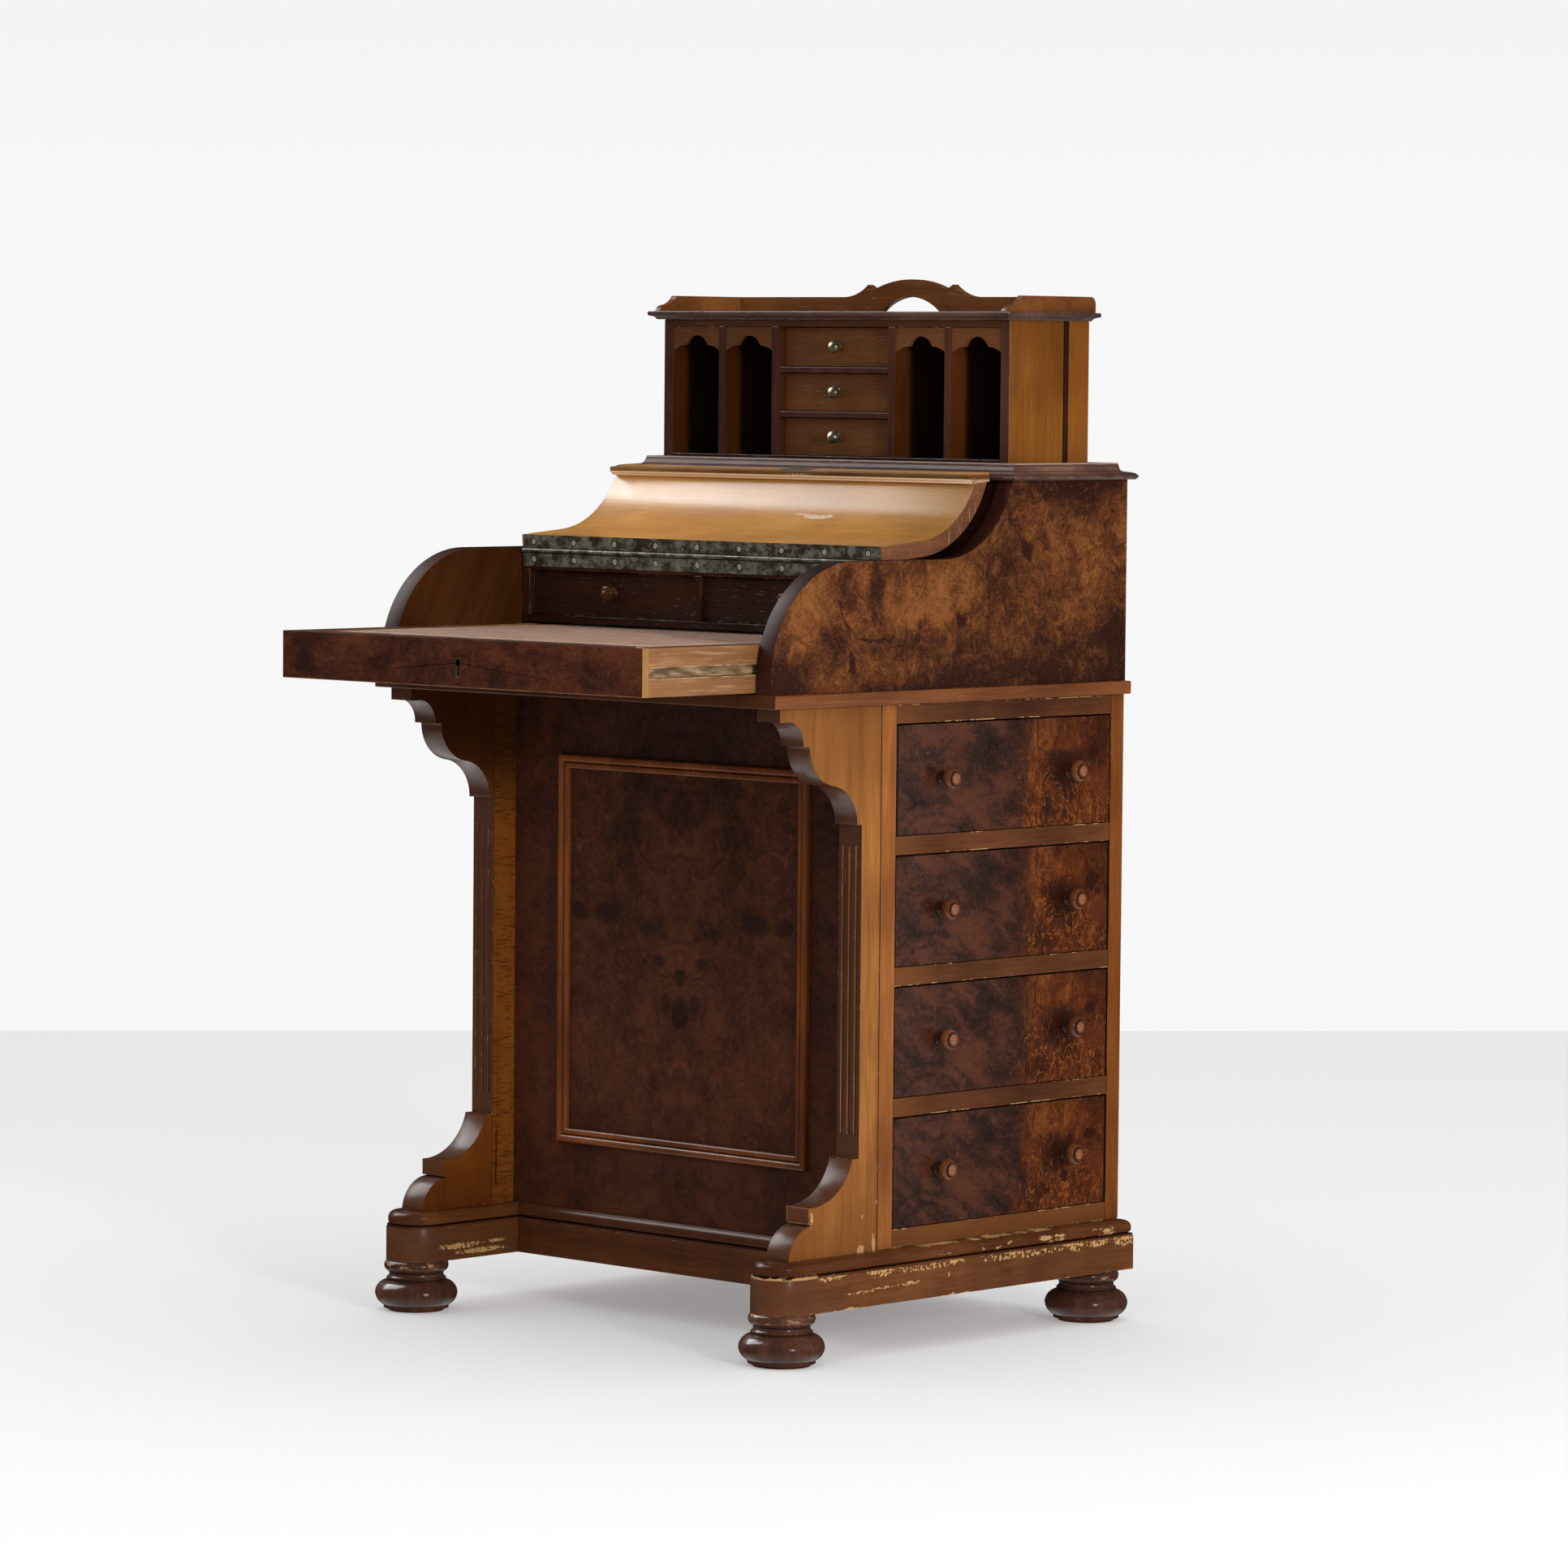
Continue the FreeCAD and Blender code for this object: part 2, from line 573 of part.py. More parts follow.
interiorY = (d.interiorFront, d.wellFront)
interiorZ = (floorTop, d.interiorTop)
interiorInner = cheekInner - d.interiorSide
fixedLow = d.hingeZ - d.lidThick
interior = [
    box("interior_side_%d" % side, span(side, interiorInner, cheekInner), interiorY, interiorZ)
    for side in (1, -1)
]
interior += [
    box("interior_divider", (-d.dividerHalf, d.dividerHalf), interiorY, interiorZ),
    box("interior_top_rail", acrossDesk, (d.interiorFront, d.interiorFront + d.topRailDeep),
        (d.interiorTop, fixedLow)),
]
node("interior_frame", group("interior_group", interior))

# desk top: the moulded edge is a stack of rectangles, each given by how far it stands in from the widest one
deskTopHigh = d.deskTopLow + d.topHigh


def mouldedBoard(name, x, y, z, edge):
    # a board whose edge goes through steps of inset, inset at the back, and share of the height
    sections = []
    for step, (inset, backInset, rise) in enumerate(edge):
        plate = doc.addObject("Part::Plane", "%s_section_%d" % (name, step))
        bind(plate, "Length", x[1] - x[0] - inset * 2)
        bind(plate, "Width", y[1] - y[0] - inset - backInset)
        sections.append(place(plate, x[0] + inset, y[0] + inset, z[0] + (z[1] - z[0]) * rise))
    board = doc.addObject("Part::Loft", name)
    board.Sections = sections
    board.Solid = True
    board.Ruled = True
    return board


topX = (-d.topLeft, d.topRight)
topY = (d.topFront, d.topBack)
moulded = mouldedBoard("top_moulded", topX, topY, (d.deskTopLow, deskTopHigh), [
    (3, 2, 0.0), (0, 0, 0.15), (0.6, 0.4, 0.27), (4, 1, 0.38), (9, 2, 0.43), (21.5, 3, 0.49), (24, 3.3, 0.58),
    (25.4, 3.6, 0.78), (26.5, 4, 1.0),
])
mouth = box("till_mouth", (-d.mouthHalf, d.mouthHalf), (d.mouthFront, d.mouthBack),
            (d.deskTopLow - 1, deskTopHigh + 1))
node("desk_top", cut("top_board", moulded, mouth))

# lid, hinge and the fixed section behind it

screwXs = [d.screwPitch * step for step in range(-4, 5)]
screwZ = -d.screwLow
knuckleCount = 17
knuckleLong = d.leafHalf * 2 / knuckleCount


def screwSet(name, face, turn, way):
    # countersunk screws in a leaf: face is the leaf's open face, and way the direction they go in
    heads = []
    for step, x in enumerate(screwXs):
        head = rod("%s_head_%d" % (name, step), d.screwHeadR, d.leafThick, x, face, screwZ, turn, d.screwR)
        shank = rod("%s_shank_%d" % (name, step), d.screwR, d.screwDeep, x, face + d.leafThick * way, screwZ,
                    turn)
        heads.append(fuse("%s_%d" % (name, step), [head, shank]))
    return heads


def slotted(name, screws, face, way):
    # the screws with a driver's slot cut across each head
    y = (face, face + d.screwSlotDeep) if way > 0 else (face - d.screwSlotDeep, face)
    made = []
    for step, (x, screw) in enumerate(zip(screwXs, screws)):
        slot = box("%s_slot_%d" % (name, step), (x - d.screwHeadR, x + d.screwHeadR), y,
                   (screwZ - d.screwSlot, screwZ + d.screwSlot))
        made.append(cut("%s_cut_%d" % (name, step), screw, slot))
    return made


def hingeLeaf(name, face, turn, way, first):
    # a leaf behind its open face, with every second knuckle, bored for the pin
    y = (face, face + d.leafThick) if way > 0 else (face - d.leafThick, face)
    low = -d.knuckleR - d.knucklePlay - d.leafHigh
    parts = [box(name + "_plate", (-d.leafHalf, d.leafHalf), y, (low, low + d.leafHigh))]
    for step in range(first, knuckleCount, 2):
        x = -d.leafHalf + knuckleLong * step
        webX = (x + d.knucklePlay / 2, x + knuckleLong - d.knucklePlay / 2)
        parts.append(box("%s_web_%d" % (name, step), webX, y, (low + d.leafHigh, 0)))
        parts.append(rod("%s_knuckle_%d" % (name, step), d.knuckleR, knuckleLong - d.knucklePlay, webX[0],
                         turn=alongX))
    bore = rod(name + "_bore", d.boreR, d.leafHalf * 2 + 2, -d.leafHalf - 1, 0, 0, alongX)
    holes = group(name + "_holes", screwSet(name + "_hole", face, turn, way) + [bore])
    leaf = cut(name + "_cut", fuse(name + "_leaf", parts), holes)
    return [leaf] + slotted(name, screwSet(name + "_screw", face, turn, way), face, way)


def aboutHinge(item, angle=0):
    # moves a piece that is drawn about the hinge line to where it belongs
    item.Placement.Rotation = FreeCAD.Rotation(FreeCAD.Vector(1, 0, 0), angle)
    return place(item, 0, d.hingeY, d.hingeZ)


fixedEdge = d.interiorFront - d.hingeY
fixedSteps = [
    ("to", fixedEdge, -d.lidThick), ("to", fixedEdge, 0), ("to", d.sweepY - d.hingeY, 0),
    ("left", sweepEnd(sweepCentre - d.hingeZ) - d.hingeY, d.deskTopLow - d.hingeZ, sweepCentre - d.hingeZ),
    ("to", sweepEnd(sweepCentre - d.hingeZ + d.lidThick) - d.hingeY, d.deskTopLow - d.hingeZ),
    ("right", d.sweepY - d.hingeY, -d.lidThick, sweepCentre - d.hingeZ + d.lidThick),
]
fixedBoard = padded("fixed_board", "YZ_Plane", fixedSteps, *acrossDesk)
fixedRelief = rod("fixed_relief", d.reliefR, cheekInner * 2 + 2, -cheekInner - 1, 0, 0, alongX)
fixedFace = fixedEdge - d.leafThick
fixedPilots = group("fixed_pilots", screwSet("fixed_pilot", fixedFace, alongBack, 1) + [fixedRelief])
node("fixed_lid_panel", aboutHinge(cut("fixed_panel_cut", fixedBoard, fixedPilots)))
fixedLeaf = hingeLeaf("fixed_hinge", fixedFace, alongBack, 1, 0)
node("hinge_fixed_leaf", aboutHinge(group("fixed_leaf", fixedLeaf)))
pin = rod("pin_rod", d.pinR, d.leafHalf * 2, -d.leafHalf, turn=alongX)
node("hinge_pin", aboutHinge(group("pin", [pin])))

# the lid is drawn closed, about the hinge line, and turned open as a whole
lidEdge = -d.lidEdge
lidInnerR = d.lidR - d.lidThick


def lidFront(radius, drop):
    # where a curve about the lid's centre is after a given drop
    rise = d.lidR - drop
    return -d.lidCurve - root(radius * radius - rise * rise)


lidSteps = [
    ("to", lidEdge, 0), ("to", lidEdge, -d.lidThick), ("to", -d.lidCurve, -d.lidThick),
    ("left", lidFront(lidInnerR, d.lidDrop), -d.lidDrop, lidInnerR),
    ("to", lidFront(d.lidR, d.lidDrop), -d.lidDrop), ("right", -d.lidCurve, 0, d.lidR),
]
acrossLid = (-d.lidHalf, d.lidHalf)
lidBoard = padded("lid_board", "YZ_Plane", lidSteps, *acrossLid)
lidRelief = rod("lid_relief", d.reliefR, d.lidHalf * 2 + 2, -d.lidHalf - 1, 0, 0, alongX)
lidFace = lidEdge + d.leafThick
lidPilots = group("lid_pilots", screwSet("lid_pilot", lidFace, alongFront, -1) + [lidRelief])
node("lid_panel", aboutHinge(cut("lid_panel_cut", lidBoard, lidPilots), -d.lidOpen.number))
node("hinge_lid_leaf", aboutHinge(
    group("lid_leaf", hingeLeaf("lid_hinge", lidFace, alongFront, -1, 1)), -d.lidOpen.number))

lipSteps = [
    ("to", -d.lipFront, -d.lidDrop), ("to", -d.lipFront, -d.lipDrop), ("to", -d.lipBack, -d.lipDrop),
    ("to", -d.lipBack, -d.lidDrop - d.lipRound), ("right", -d.lipBack - d.lipRound, -d.lidDrop, d.lipRound),
]
lipBoard = padded("lip_board", "YZ_Plane", lipSteps, *acrossLid)
strikeY = (-d.strikeFront, -d.strikeBack)
strikeZ = (-d.lipDrop, -d.lipDrop + d.strikeThick)
slotX = (-d.strikeSlot, d.strikeSlot)
slotY = (-d.strikeSlotFront, -d.strikeSlotBack)
strikeRecess = box("strike_recess", (-d.strikeHalf, d.strikeHalf), strikeY, strikeZ)
boltMortise = box("bolt_mortise", slotX, slotY, (-d.lipDrop, -d.lipDrop + d.strikeDeep))
lipCut = cut("lip_cut", lipBoard, group("lip_recesses", [strikeRecess, boltMortise]))
node("lid_lipping", aboutHinge(lipCut, -d.lidOpen.number))
strikeSheet = box("strike_sheet", (-d.strikeHalf, d.strikeHalf), strikeY, strikeZ)
strikeSlot = box("strike_slot", slotX, slotY, (-d.lipDrop - 1, -d.lipDrop + d.strikeThick + 1))
node("strike_plate", aboutHinge(cut("strike_cut", strikeSheet, strikeSlot), -d.lidOpen.number))

# writing slide

slideZ = (d.slideLow, d.slideTop)
railBack = d.slideFront + d.facing
facing = box("facing_board", (-d.slideHalf, d.slideHalf), (d.slideFront, railBack), slideZ)
keyhole = group("keyhole", [
    rod("key_round", d.keyR, d.facing + 2, 0, railBack + 1, d.keyZ, alongFront),
    box("key_slot", (-d.keySlot, d.keySlot), (d.slideFront - 1, railBack + 1), (d.keyLow, d.keyZ)),
])
node("slide_front", cut("facing_cut", facing, keyhole))

boardHalf = d.slideHalf - d.slideRail
lockY = (railBack, d.lockBack)
boltX = (-d.boltHalf - d.boltPlay, d.boltHalf + d.boltPlay)
boltY = (d.boltFront - d.boltPlay, d.boltFront + d.boltThick + d.boltPlay)


def slideSide(name, side):
    rail = box("slide_side_" + name, span(side, boardHalf, d.slideHalf), (railBack, d.slideBack), slideZ)
    groove = box("slide_groove_" + name, span(side, d.slideHalf - d.grooveDeep, d.slideHalf + 1),
                 (railBack, d.slideBack + 1), (d.grooveLow, d.grooveTop))
    return cut("slide_rail_" + name, rail, groove)


acrossBoard = (-boardHalf, boardHalf)
lockPockets = group("lock_pockets", [
    box("lock_pocket", (-d.lockHalf, d.lockHalf), lockY, (d.lockLow, d.lockTop)),
    box("bolt_way", boltX, boltY, (d.lockTop, d.slideTop + 1)),
])
frontRail = cut("front_rail_cut", box("front_rail", acrossBoard, (railBack, railBack + d.frontRail), slideZ),
                lockPockets)
backRail = box("slide_back_rail", acrossBoard, (d.slideBack - d.slideRail, d.slideBack), slideZ)
node("slide_rails", group("slide_rail_group", bothSides(slideSide) + [frontRail, backRail]))

boardY = (railBack + d.frontRail, d.slideBack - d.slideRail)
node("slide_top", box("writing_board", acrossBoard, boardY, (d.boardTop - d.boardThick, d.boardTop)))
leatherHalf = boardHalf - d.leatherInset
node("slide_leather", box("leather_sheet", (-leatherHalf, leatherHalf),
                          (boardY[0] + d.leatherInset, boardY[1] - d.leatherInset),
                          (d.boardTop, d.boardTop + d.leatherThick)))

lockBody = box("lock_body", (-d.lockHalf, d.lockHalf), lockY, (d.lockLow, d.lockTop))
lockWay = box("lock_way", boltX, boltY, (d.boltLow - 1, d.lockTop + 1))
lockKey = rod("lock_key", d.keyR, d.frontRail, 0, lockY[1] + 1, d.keyZ, alongFront)
node("lock_case", cut("lock_cut", lockBody, group("lock_ways", [lockWay, lockKey])))
node("lock_bolt", box("bolt", (-d.boltHalf, d.boltHalf), (d.boltFront, d.boltFront + d.boltThick),
                      (d.boltLow, d.boltTop)))


def slideRunner(name, side):
    return box("slide_runner_" + name, span(side, d.slideHalf - d.grooveDeep + d.runnerPlay, cheekInner),
               (d.runnerFront, d.runnerBack), (d.grooveLow + d.runnerPlay, d.grooveTop - d.runnerPlay))


node("slide_runners", group("slide_runner_group", bothSides(slideRunner)))

# interior drawers


def frontDrawer(name, across, low, high, front, back, thick, side, bottom, lift, sideHigh):
    # the same drawer laid with its front towards -Y
    parts = drawerBox(name, across, (-back, -front), low, high, thick, side, bottom, lift, sideHigh)
    return [box("%s_%s" % (name, piece), x, (-y[1], -y[0]), z) for piece, y, x, z in parts]


innerFace = d.interiorFront + d.innerRecess
for side, name in ((1, "right"), (-1, "left")):
    across = span(side, d.dividerHalf + d.innerGap, interiorInner - d.innerGap)
    low, high = floorTop + d.runRise, d.interiorTop - d.innerGap
    solids = frontDrawer("interior_" + name, across, low, high, innerFace, innerFace + d.innerLong,
                         d.innerFront, d.innerSide, 4, 2, (high - low) * 0.85)
    solids.append(knob("interior_knob_" + name, (across[0] + across[1]) / 2, innerFace,
                       (low + high) / 2 + d.innerKnobRise, alongFront, d.innerKnobR, d.innerKnobOut,
                       d.innerKnobR * 0.7, d.innerKnobR * 0.45))
    node("interior_drawer_" + name, group("interior_drawer_group_" + name, solids))

# till

tillInner = d.tillHalf - d.tillSide
tillY = (d.tillFront, d.tillBack)
insideY = (d.tillFront, d.tillBack - d.tillBackThick)
insideZ = (d.tillFloorTop, d.tillTop)
guideY = (d.guideY - d.guideHalf, d.guideY + d.guideHalf)


def tillSide(name, side):
    board = box("till_side_" + name, span(side, tillInner, d.tillHalf), tillY, (d.tillLow, d.tillTop))
    groove = box("till_groove_" + name, span(side, d.tillHalf - d.guideDeep, d.tillHalf + 1), guideY,
                 (d.tillLow - 1, d.tillTop + 1))
    return cut("till_side_cut_" + name, board, groove)


def tillGuide(name, side):
    y = (guideY[0] + d.guidePlay, guideY[1] - d.guidePlay)
    tongue = d.tillHalf - d.guideDeep + d.guidePlay
    lower = box("guide_lower_" + name, span(side, tongue, cheekInner), y, (floorTop, d.deskTopLow))
    upper = box("guide_upper_" + name, span(side, tongue, d.mouthHalf), y, (d.deskTopLow, deskTopHigh))
    return fuse("guide_" + name, [lower, upper])


node("till_guides", group("guide_group", bothSides(tillGuide)))
node("till_sides", group("till_side_group", bothSides(tillSide)))
acrossTill = (-tillInner, tillInner)
node("till_floor", box("till_floor_board", acrossTill, insideY, (d.tillFloorLow, d.tillFloorTop)))
node("till_back", box("till_back_board", acrossTill, (insideY[1], d.tillBack), (d.tillFloorLow, d.tillTop)))
capX = (d.capMiddle - d.capHalf, d.capMiddle + d.capHalf)
node("till_top", mouldedBoard("cap_board", capX, (d.capFront, d.capBack), (d.tillTop, d.capTop), [
    (7.5, 7.5, 0.0), (6.5, 6.5, 0.2), (4.5, 4.5, 0.38), (0.8, 0.8, 0.46), (0, 0, 0.62), (0.2, 0.2, 0.9),
    (0.9, 0.9, 1.0),
]))

setY = (d.tillFront + d.valanceSet, insideY[1])
outerEdge = d.outerDivider + d.outerThick
innerEdge = d.innerDivider + d.innerThick
# the frieze rail runs across the front, over the dividers
friezeY = (d.tillFront, d.tillFront + d.friezeDeep)
partitions = []
for side in (1, -1):
    for name, near, far in (("outer", d.outerDivider, outerEdge), ("inner", d.innerDivider, innerEdge)):
        board = box("%s_divider_%d" % (name, side), span(side, near, far), insideY, insideZ)
        notch = box("%s_notch_%d" % (name, side), acrossTill, friezeY, (d.tillRail, d.tillTop + 1))
        partitions.append(cut("%s_divider_cut_%d" % (name, side), board, notch))
acrossDrawers = (-d.innerDivider, d.innerDivider)
shelves = [(d.shelfOne, d.shelfOne + d.shelfThick), (d.shelfTwo, d.shelfTwo + d.shelfThick)]
for step, z in enumerate(shelves):
    partitions.append(box("drawer_shelf_%d" % step, acrossDrawers, setY, z))
node("till_partitions", group("partition_group", partitions))


def valance(name, low, high):
    # a board with a round arch between two cusps
    middle = (low + high) / 2
    cusp = d.valanceLow + d.cuspRise
    steps = [
        ("to", high, d.tillRail), ("to", low, d.tillRail), ("to", low, d.valanceLow),
        ("right", middle - d.cuspHalf, cusp, d.wavesR), ("right", middle + d.cuspHalf, cusp, d.archR),
        ("right", high, d.valanceLow, d.wavesR),
    ]
    return padded(name, "XZ_Plane", steps, setY[0], setY[0] + d.valanceThick)


valances = [box("frieze_rail", acrossTill, friezeY, (d.tillRail, d.tillTop))]
for side in (1, -1):
    valances.append(valance("valance_outer_%d" % side, *span(side, outerEdge, tillInner)))
    valances.append(valance("valance_inner_%d" % side, *span(side, innerEdge, d.outerDivider)))
node("till_valances", group("valance_group", valances))

tillFace = d.tillFront + d.tillDrawerSet
tillOpenings = [
    ("top", shelves[1][1], d.tillRail), ("middle", shelves[0][1], shelves[1][0]),
    ("bottom", d.tillFloorTop, shelves[0][0]),
]
for name, low, high in tillOpenings:
    label = "till_drawer_" + name
    across = (d.tillDrawerGap - d.innerDivider, d.innerDivider - d.tillDrawerGap)
    z = (low + d.runRise, high - d.tillDrawerGap)
    solids = frontDrawer(label, across, z[0], z[1], tillFace, d.tillDrawerBack, d.tillDrawerFront,
                         d.tillDrawerSide, 3, 2, (z[1] - z[0]) * 0.85)
    node(label, group(label + "_group", solids))
    ball = d.tillKnobR
    out = d.tillKnobOut
    steps = [
        ("to", 0, 0), ("to", ball * 0.62, 0), ("to", ball * 0.62, out * 0.1),
        ("to", ball * 0.4, out * 0.18), ("to", ball * 0.55, out - ball * 1.45),
        ("left", ball, out - ball, ball * 0.45), ("left", 0, out, ball),
    ]
    node(label + "_knob", turned(label + "_ball", steps, 0, tillFace, (low + high) / 2, alongFront))

# gallery


def gallerySide(name, side):
    level = d.galleryLevel
    steps = [
        ("to", d.galleryFront, d.capTop), ("right", d.galleryFront + 10, d.capTop + 7, 12),
        ("left", d.galleryRise, level, 24), ("to", d.galleryBack - d.galleryR, level),
        ("right", d.galleryBack, level - d.galleryR, d.galleryR), ("to", d.galleryBack, d.capTop),
    ]
    near, far = span(side, d.galleryHalf - d.galleryThick, d.galleryHalf)
    return padded("gallery_side_" + name, "YZ_Plane", steps, d.galleryMiddle + near, d.galleryMiddle + far)


boardLeft = d.galleryMiddle - d.galleryHalf + d.galleryThick
boardRight = d.galleryMiddle + d.galleryHalf - d.galleryThick
backSteps = [
    ("to", boardRight, d.capTop), ("to", boardLeft, d.capTop), ("to", boardLeft, d.galleryLevel),
    ("to", -d.riseStart, d.galleryLevel), ("left", -d.peakX, d.peakZ, d.riseR), ("to", -d.dipX, d.dipZ),
    ("right", d.dipX, d.dipZ, d.crestR), ("to", d.peakX, d.peakZ),
    ("left", d.riseStart, d.galleryLevel, d.riseR), ("to", boardRight, d.galleryLevel),
]
galleryBack = padded("gallery_back", "XZ_Plane", backSteps, d.galleryBoardY, d.galleryBoardY + d.galleryBoard)
handHole = galleryBack.newObject("PartDesign::Pocket", "hand_hole")
handHole.Profile = outline(galleryBack, "hand_hole_outline", "XZ_Plane", [
    ("to", -d.holeHalf, d.holeLow), ("right", d.holeHalf, d.holeLow, d.holeR),
])
handHole.Type = "ThroughAll"
handHole.Midplane = True
node("gallery", group("gallery_group", bothSides(gallerySide) + [galleryBack]))

doc.recompute()
for item in doc.Objects:
    if {"Invalid", "Error"} & set(item.State):
        raise RuntimeError("%s did not build: %s" % (item.Name, item.State))
for item in nodes:
    if item.Shape.isNull() or not item.Shape.isValid():
        raise RuntimeError("%s has no valid shape" % item.Label)

os.makedirs("parts", exist_ok=True)
for item in nodes:
    item.Shape.exportStep(os.path.join("parts", item.Label + ".step"))
    solids = item.Shape.Solids
    print("%-24s %2d solids %10.1f cm3" % (item.Label, len(solids), item.Shape.Volume / 1000))
print(len(nodes), "nodes")
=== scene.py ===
import math

import bpy
from mathutils import Matrix, Quaternion, Vector


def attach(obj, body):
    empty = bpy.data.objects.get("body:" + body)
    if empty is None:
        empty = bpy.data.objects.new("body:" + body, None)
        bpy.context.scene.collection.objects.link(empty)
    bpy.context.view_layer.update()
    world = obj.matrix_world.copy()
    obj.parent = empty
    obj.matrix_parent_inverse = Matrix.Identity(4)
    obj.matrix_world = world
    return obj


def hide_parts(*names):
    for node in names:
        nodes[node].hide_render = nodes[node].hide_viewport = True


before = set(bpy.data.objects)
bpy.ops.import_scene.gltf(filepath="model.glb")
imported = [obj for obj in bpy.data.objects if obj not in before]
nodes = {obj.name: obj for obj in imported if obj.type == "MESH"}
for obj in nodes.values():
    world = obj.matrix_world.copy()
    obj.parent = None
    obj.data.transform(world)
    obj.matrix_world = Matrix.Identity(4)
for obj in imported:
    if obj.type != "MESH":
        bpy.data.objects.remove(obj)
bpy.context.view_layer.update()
scene = bpy.context.scene
scene.view_settings.view_transform = "Standard"
print("frame loaded,", len(nodes), "nodes")


class Value:  # a socket of a node tree: an expression on values adds its Math nodes
    def __init__(self, owner, socket):
        self.owner = owner
        self.socket = socket

    def maths(self, operation, *others):
        return self.owner.add("ShaderNodeMath", {"operation": operation}, *others)

    def __add__(self, other):
        return self.maths("ADD", self, other)

    def __radd__(self, other):
        return self.maths("ADD", other, self)

    def __sub__(self, other):
        return self.maths("SUBTRACT", self, other)

    def __rsub__(self, other):
        return self.maths("SUBTRACT", other, self)

    def __mul__(self, other):
        return self.maths("MULTIPLY", self, other)

    def __rmul__(self, other):
        return self.maths("MULTIPLY", other, self)

    def __truediv__(self, other):
        return self.maths("DIVIDE", self, other)

    def __rtruediv__(self, other):
        return self.maths("DIVIDE", other, self)

    def __abs__(self):
        return self.maths("ABSOLUTE", self)

    def larger(self, other):
        return self.maths("MAXIMUM", self, other)

    def smaller(self, other):
        return self.maths("MINIMUM", self, other)

    def whole(self):
        return self.maths("FLOOR", self)

    def root(self):
        return self.maths("SQRT", self)

    def sine(self):
        return self.maths("SINE", self)

    def wrapped(self, size):
        return self.maths("FLOORED_MODULO", self, size)

    def over(self, low, high):  # 0 up to low and 1 from high on, with a smooth rise between them
        settings = {"interpolation_type": "SMOOTHSTEP", "clamp": True}
        return self.owner.add("ShaderNodeMapRange", settings, self, low, high)

    def near(self, middle, wide, thin):  # 1 within thin of a middle, and 0 from wide on
        return abs(self - middle).over(wide, thin)

    def between(self, low, high, soft):  # 1 from low to high, with soft ends
        return self.over(low - soft, low) * self.over(high + soft, high)


class Tree:  # a node tree being made: add makes any of its nodes
    def __init__(self, owner):
        owner.use_nodes = True
        self.tree = owner.node_tree
        self.tree.nodes.clear()

    def add(self, kind, settings, *inputs, output=0, at=None, **named):
        node = self.tree.nodes.new(kind)
        for key, value in settings.items():
            if key == "stops":
                elements = node.color_ramp.elements
                while len(elements) < len(value):
                    elements.new(0.5)
                for element, (position, colour) in zip(elements, value):
                    element.position = position
                    element.color = (*colour, 1)
            else:
                setattr(node, key, value)
        for key, value in [*enumerate(inputs), *(at or {}).items(), *named.items()]:
            socket = node.inputs[key.replace("_", " ") if isinstance(key, str) else key]
            if isinstance(value, Value):
                self.tree.links.new(value.socket, socket)
            elif value is not None:
                socket.default_value = (*value, 1) if socket.type == "RGBA" and len(value) == 3 else value
        return Value(self, node.outputs[output]) if node.outputs else None

    def outputs(self, value):
        return [Value(self, socket) for socket in value.socket.node.outputs]

    def dot(self, first, second):
        return self.add("ShaderNodeVectorMath", {"operation": "DOT_PRODUCT"}, first, second, output="Value")


